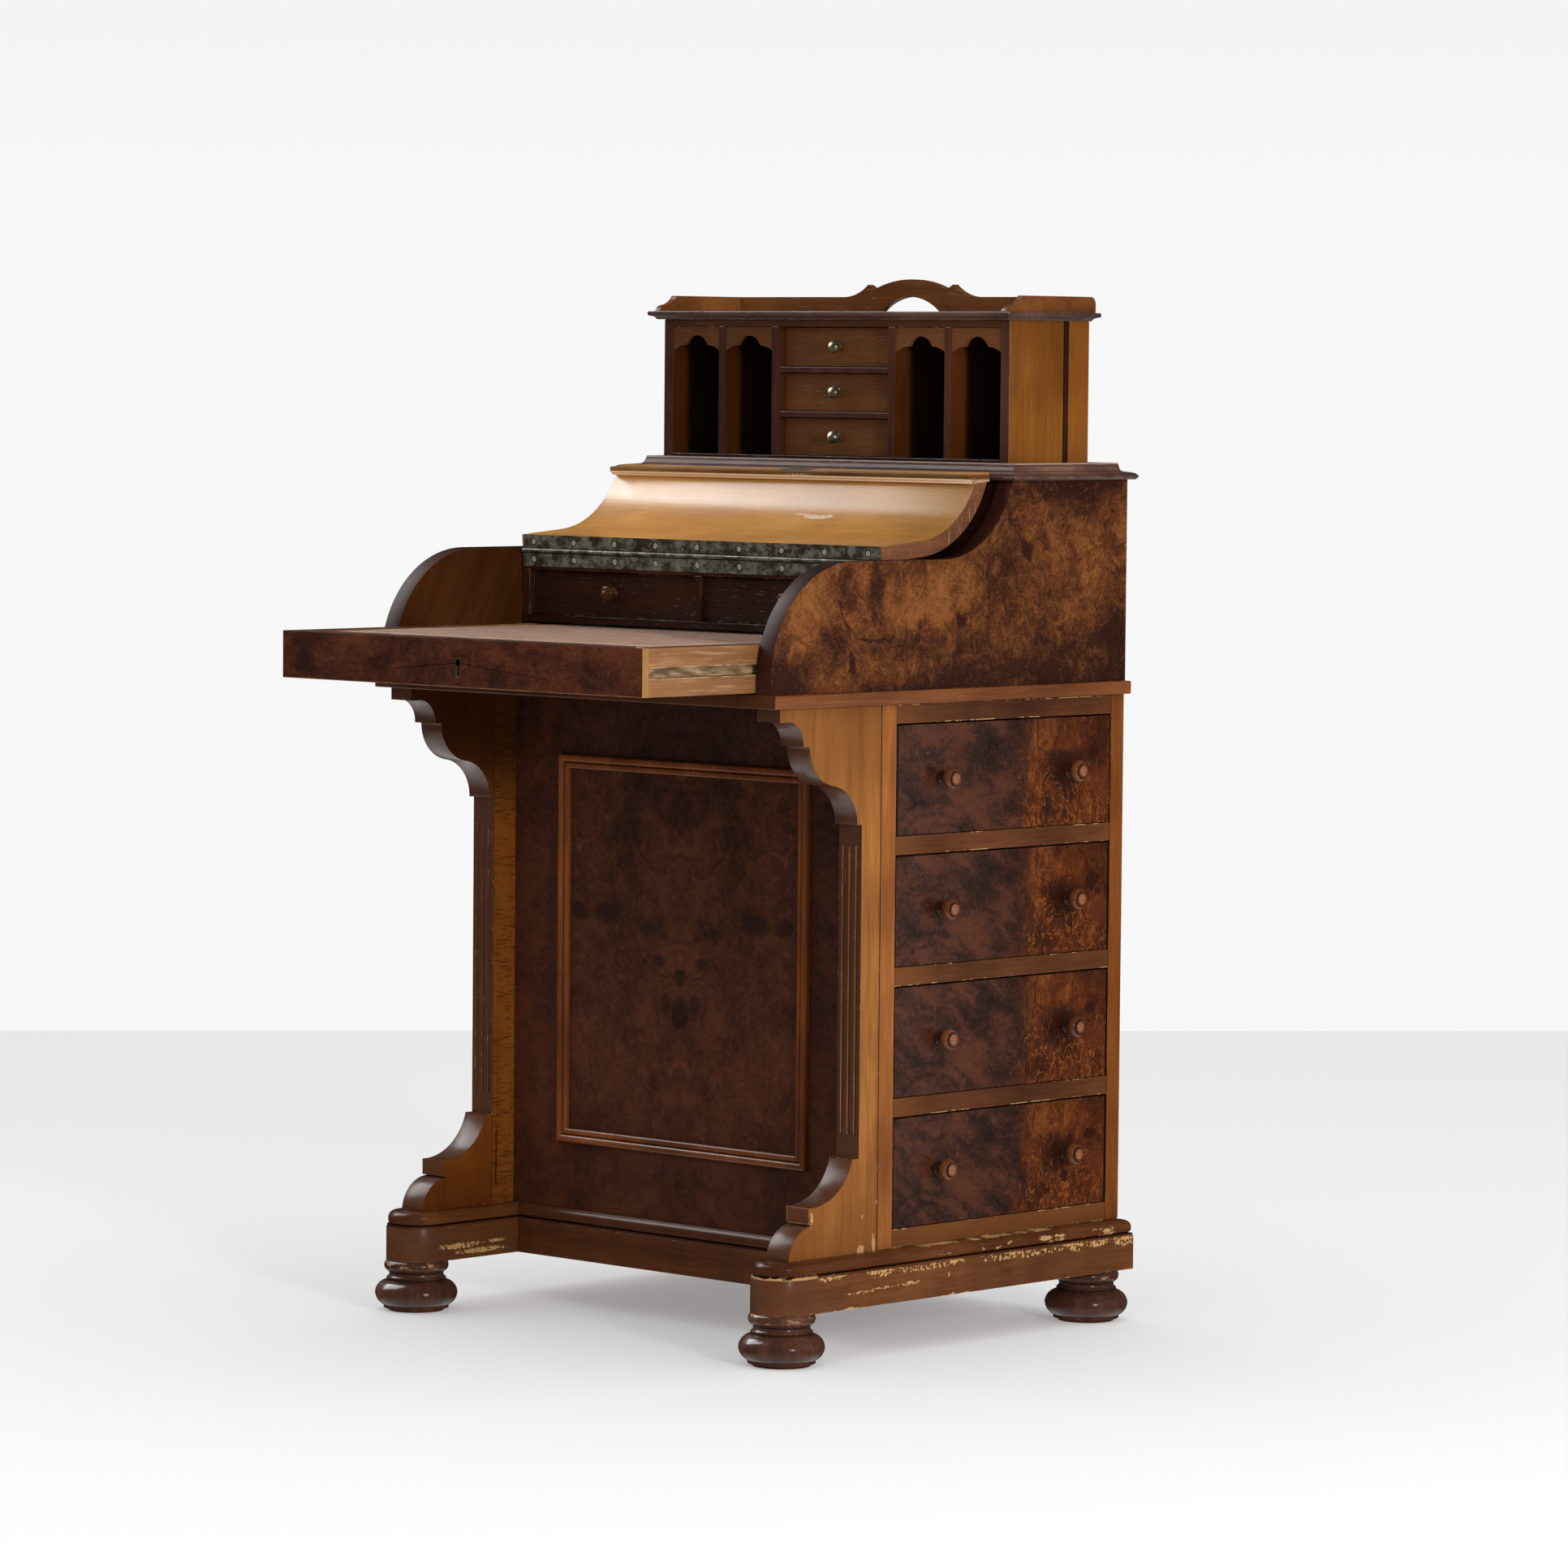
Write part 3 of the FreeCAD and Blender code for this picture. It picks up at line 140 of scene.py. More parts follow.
class Finish(Tree):  # a material being made, with the ways of laying a pattern on a piece
    def __init__(self, name):
        self.material = bpy.data.materials.new(name)
        super().__init__(self.material)
        self.place = self.add("ShaderNodeTexCoord", {}, output="Object")
        self.facing = self.add("ShaderNodeTexCoord", {}, output="Normal")
        self.x, self.y, self.z = self.parts(self.place)
        self.faceX, self.faceY, self.faceZ = self.parts(self.facing)

    def parts(self, vector):
        return self.outputs(self.add("ShaderNodeSeparateXYZ", {}, vector))

    def vector(self, x, y, z):
        return self.add("ShaderNodeCombineXYZ", {}, x, y, z)

    def mapped(self, vector, scale, turn=(0, 0, 0), shift=(0, 0, 0)):
        return self.add("ShaderNodeMapping", {}, Vector=vector, Location=shift, Rotation=turn, Scale=scale)

    def noise(self, vector, scale=1.0, detail=3.0, rough=0.55, warp=0.0):
        return self.add("ShaderNodeTexNoise", {}, Vector=vector, Scale=scale, Detail=detail, Roughness=rough,
                        Distortion=warp)

    def stretched(self, stretch, scale, detail, rough=0.55):  # a noise drawn out along some axes
        return self.noise(self.mapped(self.place, stretch), scale, detail, rough)

    def stirred(self, vector, scale, amount, detail=2.0):  # the place pushed about by a noise
        push = self.add("ShaderNodeTexNoise", {}, Vector=vector, Scale=scale, Detail=detail, output="Color")
        push = self.add("ShaderNodeVectorMath", {"operation": "SUBTRACT"}, push, (0.5, 0.5, 0.5))
        return self.add("ShaderNodeVectorMath", {"operation": "MULTIPLY_ADD"}, push, (amount,) * 3, vector)

    def ring(self, u, v, middle, radii):  # squared distance from a middle, 1 on an oval with these radii
        across = (u - middle[0]) / radii[0]
        up = (v - middle[1]) / radii[1]
        return across * across + up * up

    def spots(self, u, v, places):  # soft oval spots, each as strong in its middle as its last number
        found = None
        for left, low, wide, high, strength in places:
            spot = self.ring(u, v, (left, low), (wide, high)).over(1.0, 0.1) * strength
            found = found.larger(spot) if found else spot
        return found

    def outward(self):  # 1 on faces that look away from the desk's middle
        return (self.x * self.faceX).over(0.1, 0.2)

    def inward(self):  # 1 on faces that look towards the desk's middle
        return (self.x * self.faceX).over(0.0, -0.05)

    def sideways(self, low=0.7, high=0.85):  # 1 on faces that look left or right
        return abs(self.faceX).over(low, high)

    def mix(self, factor, first, second, blend="MIX"):
        settings = {"data_type": "RGBA", "blend_type": blend}
        return self.add("ShaderNodeMix", settings, factor, at={6: first, 7: second}, output=2)

    def tones(self, factor, *colours):
        stops = [(step / (len(colours) - 1), colour) for step, colour in enumerate(colours)]
        return self.add("ShaderNodeValToRGB", {"stops": stops}, factor)

    def edges(self, radius):  # 0 on a flat, rising to 1 at an edge
        bevel = self.add("ShaderNodeBevel", {"samples": 5}, radius)
        return 1 - self.dot(bevel, self.add("ShaderNodeNewGeometry", {}, output="Normal"))

    def flakes(self, along, across, reach, amount, seed=0.0):  # lost polish, in clusters along an edge
        where = self.noise(self.vector(along, seed, 0), 22, 3.0, 0.6).over(0.36, 0.7)
        torn = self.noise(self.vector(along * 0.28, across, seed), 270, 4.0, 0.65)
        depth = (where * 1.1 + (torn - 0.5) * 4.0 + amount - 1.0) * reach
        return (depth - across).over(0.0, 0.0005)

    def torn(self, mask, scale=250, edge=0.12):  # a soft mask broken into ragged patches
        ragged = (self.noise(self.place, scale, 4.0, 0.65) - 0.5) * 2.6
        return (mask + ragged * mask.over(0.0, 0.2)).over(0.5, 0.5 + edge)

    def polish(self, rough, spread, scale=18):  # roughness with faint smears
        return self.noise(self.place, scale, 3.0) * spread + rough

    def bump(self, height, depth=0.0001):
        return self.add("ShaderNodeBump", {}, Strength=1.0, Distance=depth, Height=height)

    def done(self, colour, rough, normal=None, metallic=0.0, specular=0.13, lift=0.0, coat=0.0, sheen=0.0):
        shader = self.add("ShaderNodeBsdfPrincipled", {}, Base_Color=colour, Roughness=rough, Normal=normal,
                          Metallic=metallic, Specular_IOR_Level=specular, Emission_Color=(1, 1, 1),
                          Emission_Strength=lift, Coat_Weight=coat, Coat_Roughness=0.3, Sheen_Weight=sheen,
                          Sheen_Roughness=0.3, Sheen_Tint=(1, 0.62, 0.43))
        self.add("ShaderNodeOutputMaterial", {}, shader)
        return self.material


def wear(names, material):
    for name in names:
        node = nodes[name]
        for slot in node.material_slots:
            slot.material = material
        if not node.material_slots:
            node.data.materials.append(material)


studio = {
    "camera": (4.90974, -5.04284, 1.03245), "yaw": 0.7597, "pitch": -0.0639, "roll": 0.00886, "lens": 150.75,
    "floorEnd": 10.1, "floorNear": 14.0, "floorHalf": 16.0, "skew": 0.082,
    "near": (0.645, 0.645, 0.645), "far": (0.555, 0.555, 0.555), "cloud": (0.6, 0.6, 0.6),
    "fade": (-1.2, 3.1), "lift": 0.26,
}


def makeCamera(s):
    level = math.cos(s["pitch"])
    forward = Vector((-math.sin(s["yaw"]) * level, math.cos(s["yaw"]) * level, math.sin(s["pitch"])))
    right = Vector((math.cos(s["yaw"]), math.sin(s["yaw"]), 0))
    up = right.cross(forward)
    c, n = math.cos(s["roll"]), math.sin(s["roll"])
    right, up = right * c + up * n, up * c - right * n
    turn = Matrix((right, up, -forward)).transposed().to_4x4()
    lens = bpy.data.cameras.new("deskCamera")
    lens.lens = s["lens"]
    lens.sensor_width = 36
    lens.clip_end = 200
    camera = bpy.data.objects.new("deskCamera", lens)
    camera.matrix_world = Matrix.Translation(s["camera"]) @ turn
    scene.collection.objects.link(camera)
    scene.camera = camera


def makeFloor(s):
    bpy.ops.object.select_all(action="DESELECT")
    bpy.ops.mesh.primitive_grid_add(x_subdivisions=8, y_subdivisions=8, size=1)
    floor = bpy.context.object
    floor.name = "studioFloor"
    deep = s["floorEnd"] + s["floorNear"]
    middle = s["floorEnd"] - deep / 2
    ahead = (-math.sin(s["yaw"]), math.cos(s["yaw"]))
    floor.scale = (s["floorHalf"] * 2, deep, 1)
    floor.rotation_euler = (0, 0, s["yaw"] + s["skew"])
    floor.location = (s["camera"][0] + ahead[0] * middle, s["camera"][1] + ahead[1] * middle, 0)
    bpy.ops.object.transform_apply(location=True, rotation=True, scale=True)
    f = Finish("studioFloorPaint")
    away = f.y * ahead[1] + f.x * ahead[0]
    tone = f.mix(away.over(*s["fade"]), s["near"], s["far"])
    tone = f.mix(f.noise(f.place, 3.0, 4.0).over(0.3, 0.7) * 0.02, tone, s["cloud"])
    floor.data.materials.append(f.done(tone, 0.9, specular=0.1, lift=s["lift"]))
    floor.visible_glossy = False


lights = [
    {"name": "softboxLeft", "at": (-2.53, -0.97, 2.94), "aim": (0, 0.11, 0.88), "roll": 0.92,
     "size": (2.9, 2.4), "watts": 385, "colour": (0.9, 0.97, 1), "diffuse": False},
    {"name": "cardRight", "at": (1.805, 1.033, 0.6), "aim": (0.3, 0, 0.5), "roll": 0, "size": (1.0, 1.5),
     "watts": 3.6, "colour": (1, 1, 1), "diffuse": False},
    {"name": "windowRight", "at": (4.9, -1.6, 1.55), "aim": (0, 0, 0.6), "roll": 0, "size": (0.6, 0.8),
     "watts": 105, "colour": (1, 1, 1), "diffuse": True},
]


def makeLights():
    for light in lights:
        lamp = bpy.data.lights.new(light["name"], "AREA")
        lamp.shape = "RECTANGLE"
        lamp.size, lamp.size_y = light["size"]
        lamp.energy = light["watts"]
        lamp.color = light["colour"]
        item = bpy.data.objects.new(light["name"], lamp)
        item.location = light["at"]
        turn = (Vector(light["aim"]) - Vector(light["at"])).to_track_quat("-Z", "Y")
        item.rotation_euler = (turn @ Quaternion((0, 0, 1), light["roll"])).to_euler()
        item.visible_camera = False
        item.visible_diffuse = light["diffuse"]
        scene.collection.objects.link(item)


room = {  # seen white; its light and what polish mirrors come from the left and from above
    "seen": {"towards": (0, 0, 1), "from": (0.0, 0.12), "levels": (0.935, 0.86)},
    "light": {"towards": (-0.2, 0.75, 0.63), "from": (-0.75, 0.4), "levels": (0.5, 1.05)},
    "mirrored": {"towards": (-0.72, -0.2, 0.66), "from": (0.6, 0.95), "levels": (0.03, 0.4)},
    "below": {"towards": (0, 0, -1), "from": (0.3, 0.7), "levels": (0, 1)}, "ground": 1.4,
}


def makeRoom(r):
    scene.world = bpy.data.worlds.new("studioRoom")
    t = Tree(scene.world)
    direction = t.add("ShaderNodeTexCoord", {}, output="Generated")

    def glow(g):
        towards = t.dot(direction, g["towards"])
        smooth = {"interpolation_type": "SMOOTHSTEP"}
        return t.add("ShaderNodeMapRange", smooth, towards, *g["from"], *g["levels"])

    def chosen(factor, first, second):
        return first + (second - first) * factor

    viewed = t.add("ShaderNodeLightPath", {}, output="Is Camera Ray")
    glossy = t.add("ShaderNodeLightPath", {}, output="Is Glossy Ray")
    passing = t.add("ShaderNodeLightPath", {}, output="Is Transmission Ray")
    mirrored = chosen(glow(r["below"]), glow(r["mirrored"]), r["ground"])
    lit = chosen(glossy, glow(r["light"]), mirrored)
    seen = chosen(viewed.larger(passing), lit, glow(r["seen"]))
    light = t.add("ShaderNodeBackground", {}, Color=(1, 1, 1), Strength=seen)
    t.add("ShaderNodeOutputWorld", {}, light)


makeCamera(studio)
makeFloor(studio)
makeLights()
makeRoom(room)
print("studio set up")

bareWood = (0.45, 0.25, 0.1)  # where the polish has gone
gapAndShade = (0.008, 0.0035, 0.0025)  # dark of joints and cracks, and painted shade in grooves, openings and behind edges
soot = (0.02, 0.008, 0.005)  # old polish along an edge
veneerDepth = 0.00004
along = {"x": (0.045, 1, 1), "y": (1, 0.045, 1), "z": (1, 1, 0.045)}
honey = {"dark": (0.15, 0.05, 0.011), "mid": (0.28, 0.104, 0.022), "light": (0.42, 0.175, 0.042)}
russet = {"dark": (0.05, 0.016, 0.006), "mid": (0.105, 0.036, 0.012), "light": (0.16, 0.06, 0.021)}
umber = {"dark": (0.016, 0.006, 0.004), "mid": (0.042, 0.014, 0.008), "light": (0.075, 0.027, 0.014)}
blond = {"dark": (0.17, 0.077, 0.022), "mid": (0.29, 0.153, 0.055), "light": (0.39, 0.23, 0.09)}
ochre = {"dark": (0.47, 0.19, 0.032), "mid": (0.66, 0.295, 0.056), "light": (0.78, 0.4, 0.095)}


def tinted(wood, *by):
    return {key: tuple(c * b for c, b in zip(colour, by)) for key, colour in wood.items()}


def straightGrain(f, wood, axis, place=None):  # colour and fibre height of a board, its grain along an axis
    place = f.stirred(place or f.place, 2.2, 0.012)
    drawn = f.mapped(place, along[axis])
    bands = f.noise(drawn, 34, 3.0, 0.6)
    fibre = f.noise(drawn, 420, 3.0, 0.7)
    dashed = f.mapped(place, tuple(0.3 if s < 1 else 8.0 for s in along[axis]))
    pores = f.noise(dashed, 130, 2.0, 0.6).over(0.62, 0.72)
    cloud = f.noise(place, 7, 2.0)
    tone = bands * 0.3 + fibre * 0.3 + cloud * 0.5 - 0.05
    colour = f.tones(tone.over(0.3, 0.76), wood["dark"], wood["mid"], wood["light"])
    return f.mix(pores * 0.35, colour, wood["dark"]), fibre * 0.6 - pores * 0.6


def rubbed(f, colour, amount, radius=0.002, scale=90):  # edges darker, with patches of bare wood
    rub = f.edges(radius).over(0.02, 0.22)
    patch = f.noise(f.place, scale, 4.0, 0.65)
    mask = (rub * patch).over(0.66 - 0.3 * amount, 0.7 - 0.3 * amount)
    darker = f.mix(rub * 0.35, colour, soot)
    return f.mix(mask, darker, bareWood), mask


def scratches(f, amount):  # fine pale marks at odd angles
    found = None
    for step, turn in enumerate((0.5, 1.4, 2.3)):
        place = f.mapped(f.place, (1, 1, 1), (turn, turn * 1.7, turn * 0.6), (step * 3.1, 0, 0))
        line = f.noise(f.mapped(place, (1.2, 60, 60)), 16, 1.0).over(0.755 - amount * 0.03, 0.77)
        found = found.larger(line) if found else line
    return found


def boardFinish(name, wood, axis, rough=0.3, rub=0.5, specular=0.13):
    f = Finish(name)
    colour, fibre = straightGrain(f, wood, axis)
    colour, bare = rubbed(f, colour, rub)
    rough = f.polish(rough - 0.07, 0.14) + bare * 0.35
    return f.done(colour, rough, f.bump(fibre - bare * 2), specular=specular)


def burrFigure(f, place, size=1.0):  # swirling figure of a burr, 0 dark to 1 light
    turned = f.stirred(place, 11 / size, 0.045 * size)
    turned = f.stirred(turned, 40 / size, 0.016 * size)
    swirl = f.noise(turned, 46 / size, 4.0, 0.6, 0.9)
    hairs = []
    for turn in (0.75, -0.85):
        leaning = f.mapped(turned, (1, 1, 1), (turn, turn, 0))
        hairs.append(f.noise(f.mapped(leaning, (1, 1, 0.3)), 320 / size, 2.0, 0.65))
    side = f.noise(place, 28 / size, 2.0).over(0.44, 0.56)
    curl = hairs[0] + (hairs[1] - hairs[0]) * side
    cloud = f.noise(place, 9 / size, 2.0, 0.5)
    fine = f.noise(turned, 190 / size, 3.0, 0.65, 1.0)
    return swirl * 0.36 + fine * 0.24 + curl * 0.22 + cloud * 0.36 - 0.09


wings = {
    "names": ["wing_left", "wing_right"], "strip": -0.0625, "seam": -0.03305, "base": 0.109,
    "ends": ((0.2, 0.12), (0.54, 0.62)), "shade": (0.5, 0.62), "toeTop": (0.24, 0.2),
    "crack": {"y": -0.052, "z": (0.135, 0.185)}, "block": (0.142, 0.166), "right": (0.2, 0.21),
    "front": (0.08, 0.032, 0.017), "toe": (0.13, 0.046, 0.02), "inner": (0.56, 0.42, 0.3),
    "streak": (0.1, 0.033, 0.008), "stripTone": (0.2, 0.062, 0.009), "dash": (0.025, 0.008, 0.003),
    "foot": [(-0.058, 0.112, 0.007, 0.009, 1), (-0.0385, 0.118, 0.0035, 0.014, 1),
             (-0.056, 0.147, 0.0016, 0.003, 1), (-0.0345, 0.16, 0.0012, 0.004, 1),
             (-0.133, 0.15, 0.003, 0.012, 0.8), (-0.165, 0.156, 0.003, 0.006, 0.8)],
}


def wingFinish(w):
    f = Finish("wingWalnut")
    flank, fibre = straightGrain(f, tinted(honey, 1.12, 1.14, 1.18), "z")
    cloud = f.stretched((1, 1, 0.3), 16, 2.0).over(0.42, 0.75)
    flank = f.mix(cloud * 0.35, flank, honey["dark"])
    low, high = w["ends"]
    flank = f.mix(f.z.over(*low).larger(f.z.over(*high)) * 0.58, flank, honey["dark"])
    streaks = f.stretched((1, 1, 0.07), 90, 3.0, 0.6).over(0.5, 0.72)
    flank = f.mix(streaks * 0.4, flank, w["streak"])
    inner = f.inward()
    # inward faces multiplied darker and redder: partly their own tone, partly painted shade of the knee hole
    flank = f.mix(inner, flank, f.mix(1.0, flank, w["inner"], "MULTIPLY"))
    inStrip = (f.y - w["strip"]).over(0.0, 0.0008)
    flank = f.mix(inStrip * inner * 0.5, flank, w["stripTone"])
    dashes = f.stretched((1, 60, 640), 1.0, 2.0, 0.6).over(0.5, 0.6)
    clumps = f.stretched((1, 30, 26), 1.0, 2.0).over(0.32, 0.5)
    flank = f.mix(dashes * clumps * inStrip * inner * 0.55, flank, w["dash"])
    lineY = f.y - w["crack"]["y"] + f.noise(f.vector(0.0, 0.0, f.z), 60, 2.0) * 0.008
    crack = abs(lineY).over(0.0022, 0.0005) * f.z.between(*w["crack"]["z"], 0.012) * inner
    flank = f.mix(crack * 0.8, flank, gapAndShade)
    # painted shade on the upper inner flank, under the bed and slide
    flank = f.mix(f.z.over(*w["shade"]) * inner * 0.62, flank, gapAndShade)
    joint = f.y.near(w["strip"], 0.0009, 0.0003) * inner
    joint = joint.larger((f.y - w["seam"]).over(-0.0013, -0.0008) * (1 - inner))
    flank = f.mix(joint * 0.75, flank, gapAndShade)
    front = straightGrain(f, umber, "z")[0]
    front = f.mix(0.6, front, f.mix(f.z.over(*w["toeTop"]), w["front"], w["toe"]))
    isFlank = f.sideways(0.75, 0.9)
    colour, bare = rubbed(f, f.mix(isFlank, front, flank), 0.3, 0.0016)
    worn = (f.edges(0.0035).over(0.01, 0.2) * f.noise(f.place, 160, 4.0, 0.7)).over(0.4, 0.46)
    worn = worn * f.z.between(*w["block"], 0.003) * f.x.over(*w["right"]) * (1 - isFlank)
    lost = f.torn(f.spots(f.y, f.z, w["foot"])) * f.outward()
    lost = lost.larger(f.flakes(f.y, f.z - w["base"], 0.0035, 0.05, 0.3) * isFlank * (1 - inner))
    lost = lost.larger(worn)
    colour = f.mix(lost, colour, bareWood)
    rough = f.polish(0.22, 0.1) + isFlank * 0.08 + (bare + lost) * 0.3
    coat = (1 - isFlank) * (f.faceZ.over(-0.05, -0.3) * 0.6 + 0.07)  # most on the undersides of the scrolls
    return f.done(colour, rough, f.bump(fibre - (bare + lost) * 2), specular=0.05, coat=coat)


wear(wings["names"], wingFinish(wings))

sides = {
    "names": ["right_side_frame", "left_side_frame"], "low": 0.129, "pitch": 0.1375, "height": 0.1175,
    "opening": (-0.01015, 0.33125), "seam": -0.03305, "back": (0.3516, 0.3506), "rear": (0.25, 0.32),
    "bright": (0.06, -0.01), "lowRail": (0.15, 0.125),
}


def sideFinish(s):
    f = Finish("sideFrameWalnut")
    stile, fibre = straightGrain(f, tinted(honey, 0.98, 0.86, 0.8), "z")
    rear = straightGrain(f, tinted(honey, 0.54, 0.4, 0.24), "z")[0]
    rail = straightGrain(f, tinted(russet, 0.9, 0.8, 0.7), "y")[0]
    brighter = (f.y.over(*s["bright"]) * 0.5).larger(f.z.over(*s["lowRail"]) * 0.5)
    rail = f.mix(brighter, rail, tinted(honey, 0.62, 0.56, 0.55)["mid"])
    stile = f.mix(f.y.over(*s["rear"]), stile, rear)
    isRail = f.y.between(*s["opening"], 0.0003)
    colour = f.mix(isRail, stile, rail)
    rise = (f.z - s["low"]).wrapped(s["pitch"])
    under = rise - s["height"]
    upper = s["pitch"] - rise
    broken = f.noise(f.vector(f.y, f.z, 0.0), 17, 5.0, 0.72)
    lines = under.over(0.0014, 0.0009) * broken.over(0.53, 0.56)
    lines = lines.larger(upper.over(0.0013, 0.0008) * broken.over(0.45, 0.42)) * 0.9
    ticks = f.noise(f.vector(f.y, (f.z / s["pitch"]).whole(), 0.0), 330, 1.0).over(0.7, 0.74)
    length = f.noise(f.vector(f.y, 3.0, 0.0), 200, 2.0).over(0.4, 0.75) * 0.006
    nicks = ticks * (length - under).over(0.0, 0.0004).larger((length * 0.5 - upper).over(0.0, 0.0004))
    specks = f.stretched((1, 260, 90), 1.0, 2.0).over(0.8, 0.82)
    lost = (lines.larger(nicks) * isRail).larger(specks)
    joints = abs(f.y - s["opening"][0]).smaller(abs(f.y - s["opening"][1])).over(0.0009, 0.0003)
    colour = f.mix(joints * 0.45, colour, gapAndShade)
    colour = rubbed(f, colour, 0.25, 0.0012)[0]
    colour = f.mix(lost, colour, bareWood)
    seam = (f.y - s["seam"]).over(0.001, 0.0004)
    # faces inside the drawer openings are painted near black, as shade; the seam is a dark joint
    inside = abs(f.faceX).over(0.6, 0.4) * f.faceY.over(0.7, 0.5).larger(f.y.over(*s["back"]))
    colour = f.mix(seam.larger(inside), colour, gapAndShade)
    return f.done(colour, f.polish(0.26, 0.12) + lost * 0.3, f.bump(fibre - lost * 2))


wear(sides["names"], sideFinish(sides))

bed = {"tones": tinted(russet, 1.5, 1.35, 1.15), "shaded": (0.02, 0.007, 0.004)}


def bedFinish(b):
    f = Finish("bedWalnut")
    colour, fibre = straightGrain(f, b["tones"], "y")
    colour = f.mix(f.faceY.over(-0.5, -0.8) * 0.7, colour, b["shaded"])
    colour, bare = rubbed(f, colour, 0.3)
    return f.done(colour, f.polish(0.24, 0.14), f.bump(fibre - bare * 2))


wear(["desk_bed"], bedFinish(bed))

drawers = {  # places on a front are measured from its lower front corner
    "names": ["drawer_1", "drawer_2", "drawer_3", "drawer_4", "dummy_fronts"],
    "front": 0.2727, "start": -0.00865, "wide": 0.3384,
    "edge": (0.036, 0.014, 0.008), "scratch": (0.3, 0.18, 0.11),
    "smoke": ((0.0085, 0.0042, 0.0033), (0.034, 0.0112, 0.0066), (0.08, 0.0235, 0.0105)),
    "flame": ((0.026, 0.0065, 0.0028), (0.082, 0.0178, 0.0035), (0.185, 0.054, 0.0092)),
    "divide": 0.203, "divideFoot": 0.04, "curlRise": (0.08, 0.045), "hairs": (0.208, 0.245),
    "hairRise": (0.03, 0.08), "hairTone": (0.22, 0.075, 0.017),
    "rings": {"middle": (0.056, -0.006), "radii": (0.05, 0.03)},
    "line": {"from": (0.222, 0.088), "lean": 1.6, "low": (0.055, 0.066)},
    "plum": [(0.323, 0.045, 0.022, 0.02, 0.8)], "plumTone": (0.085, 0.018, 0.006),
    "dusk": [(0.15, 0.075, 0.075, 0.04, 0.1), (0.19, 0.08, 0.04, 0.055, 0.14),
             (0.2, 0.035, 0.035, 0.025, 0.1), (0.02, 0.03, 0.03, 0.04, 0.08)],
    "glow": [(0.29, 0.02, 0.07, 0.04, 0.04), (0.26, 0.1, 0.07, 0.035, 0.08)],
    # dark spots of the figure; the first, round the right knob, is partly a painted dark reflection of the
    # knob
    "knotsAndKnobReflection": [(0.262, 0.062, 0.04, 0.026, 0.14), (0.311, 0.077, 0.012, 0.009, 0.14),
              (0.235, 0.02, 0.016, 0.016, 0.1), (0.27, 0.035, 0.014, 0.014, 0.1)],
}


def drawerFinish(d):
    f = Finish("drawerVeneer")
    u = f.y - d["start"]
    leaf = ((f.z - sides["low"]) / sides["pitch"]).whole()
    v = (f.z - sides["low"]).wrapped(sides["pitch"])
    flat = f.vector(u, v, leaf * 0.009)
    loose = f.stirred(flat, 30, 0.014, 3.0)
    lu, lv = f.parts(loose)[:2]
    leaning = f.mapped(f.stirred(flat, 14, 0.05), (1, 1, 1), (0, 0, 0.45))
    smoke = f.noise(f.mapped(leaning, (1, 2.4, 1)), 17, 4.0, 0.55) - f.spots(lu, lv, d["dusk"])
    ring = f.ring(lu, lv, d["rings"]["middle"], d["rings"]["radii"]).root()
    rings = (ring * 15).sine().over(0.0, 1.0) * ring.between(0.75, 1.3, 0.2)
    smoke = smoke - rings * 0.09
    wisps = f.noise(f.mapped(f.stirred(flat, 50, 0.02, 3.0), (1, 1.6, 1)), 110, 5.0, 0.7)
    smoke = smoke * 0.62 + wisps * 0.38
    dark = f.tones(smoke.over(0.28, 0.62), *d["smoke"])
    figure = burrFigure(f, f.mapped(flat, (1, 0.7, 1)), 0.6)
    curls = f.noise(f.mapped(f.stirred(flat, 48, 0.026, 3.0), (1, 0.4, 1)), 95, 2.0, 0.5)
    curls = curls.near(0.5, 0.026, 0.0) * (lv.over(*d["curlRise"]) * 0.75 + 0.12)
    figure = figure + f.spots(lu, lv, d["glow"]) - f.spots(lu, lv, d["knotsAndKnobReflection"]) + curls * 0.34 - 0.01
    bright = f.tones(figure.over(0.36, 0.74), *d["flame"])
    bright = f.mix(f.spots(lu, lv, d["plum"]), bright, d["plumTone"])
    divide = d["divide"] - (d["divideFoot"] - lv).larger(0.0) * 0.5
    divide = divide + (f.noise(flat, 45, 3.0, 0.6) - 0.5) * 0.07
    colour = f.mix((lu - divide).over(-0.016, 0.022), dark, bright)
    hairs = f.noise(f.mapped(loose, (1, 0.12, 1)), 420, 2.0, 0.6).over(0.5, 0.68)
    hairs = hairs * lu.between(*d["hairs"], 0.008) * lv.over(*d["hairRise"])
    colour = f.mix(hairs * 0.22, colour, d["hairTone"])
    lineU, lineV = d["line"]["from"]
    line = abs(lu - lineU - (lineV - lv).larger(0.0) * d["line"]["lean"]).over(0.0028, 0.0006)
    colour = f.mix(line * lv.over(*d["line"]["low"]) * 0.6, colour, d["flame"][0])
    colour = f.mix(scratches(f, 0.4) * 0.4, colour, d["scratch"])
    colour = rubbed(f, colour, 0.12, 0.001)[0]
    top = leaf.over(2.4, 2.6)  # painted shade along the slit beside each front: the top drawer's is in front, the others' behind
    shut = u.over(0.0026, 0.0018) * top + (d["wide"] - u).over(0.0026, 0.0018) * (1 - top)
    colour = f.mix(shut * 0.9, colour, gapAndShade)
    lining = straightGrain(f, blond, "x")[0]
    isFront = abs(f.x).over(d["front"] - 0.0008, d["front"] - 0.0002)
    colour = f.mix(isFront, lining, f.mix(f.sideways(0.4, 0.6), d["edge"], colour))
    rough = f.polish(0.5, 0.08, 14) - isFront * 0.32
    return f.done(colour, rough, f.bump(figure, veneerDepth), specular=0.18)


wear(drawers["names"], drawerFinish(drawers))

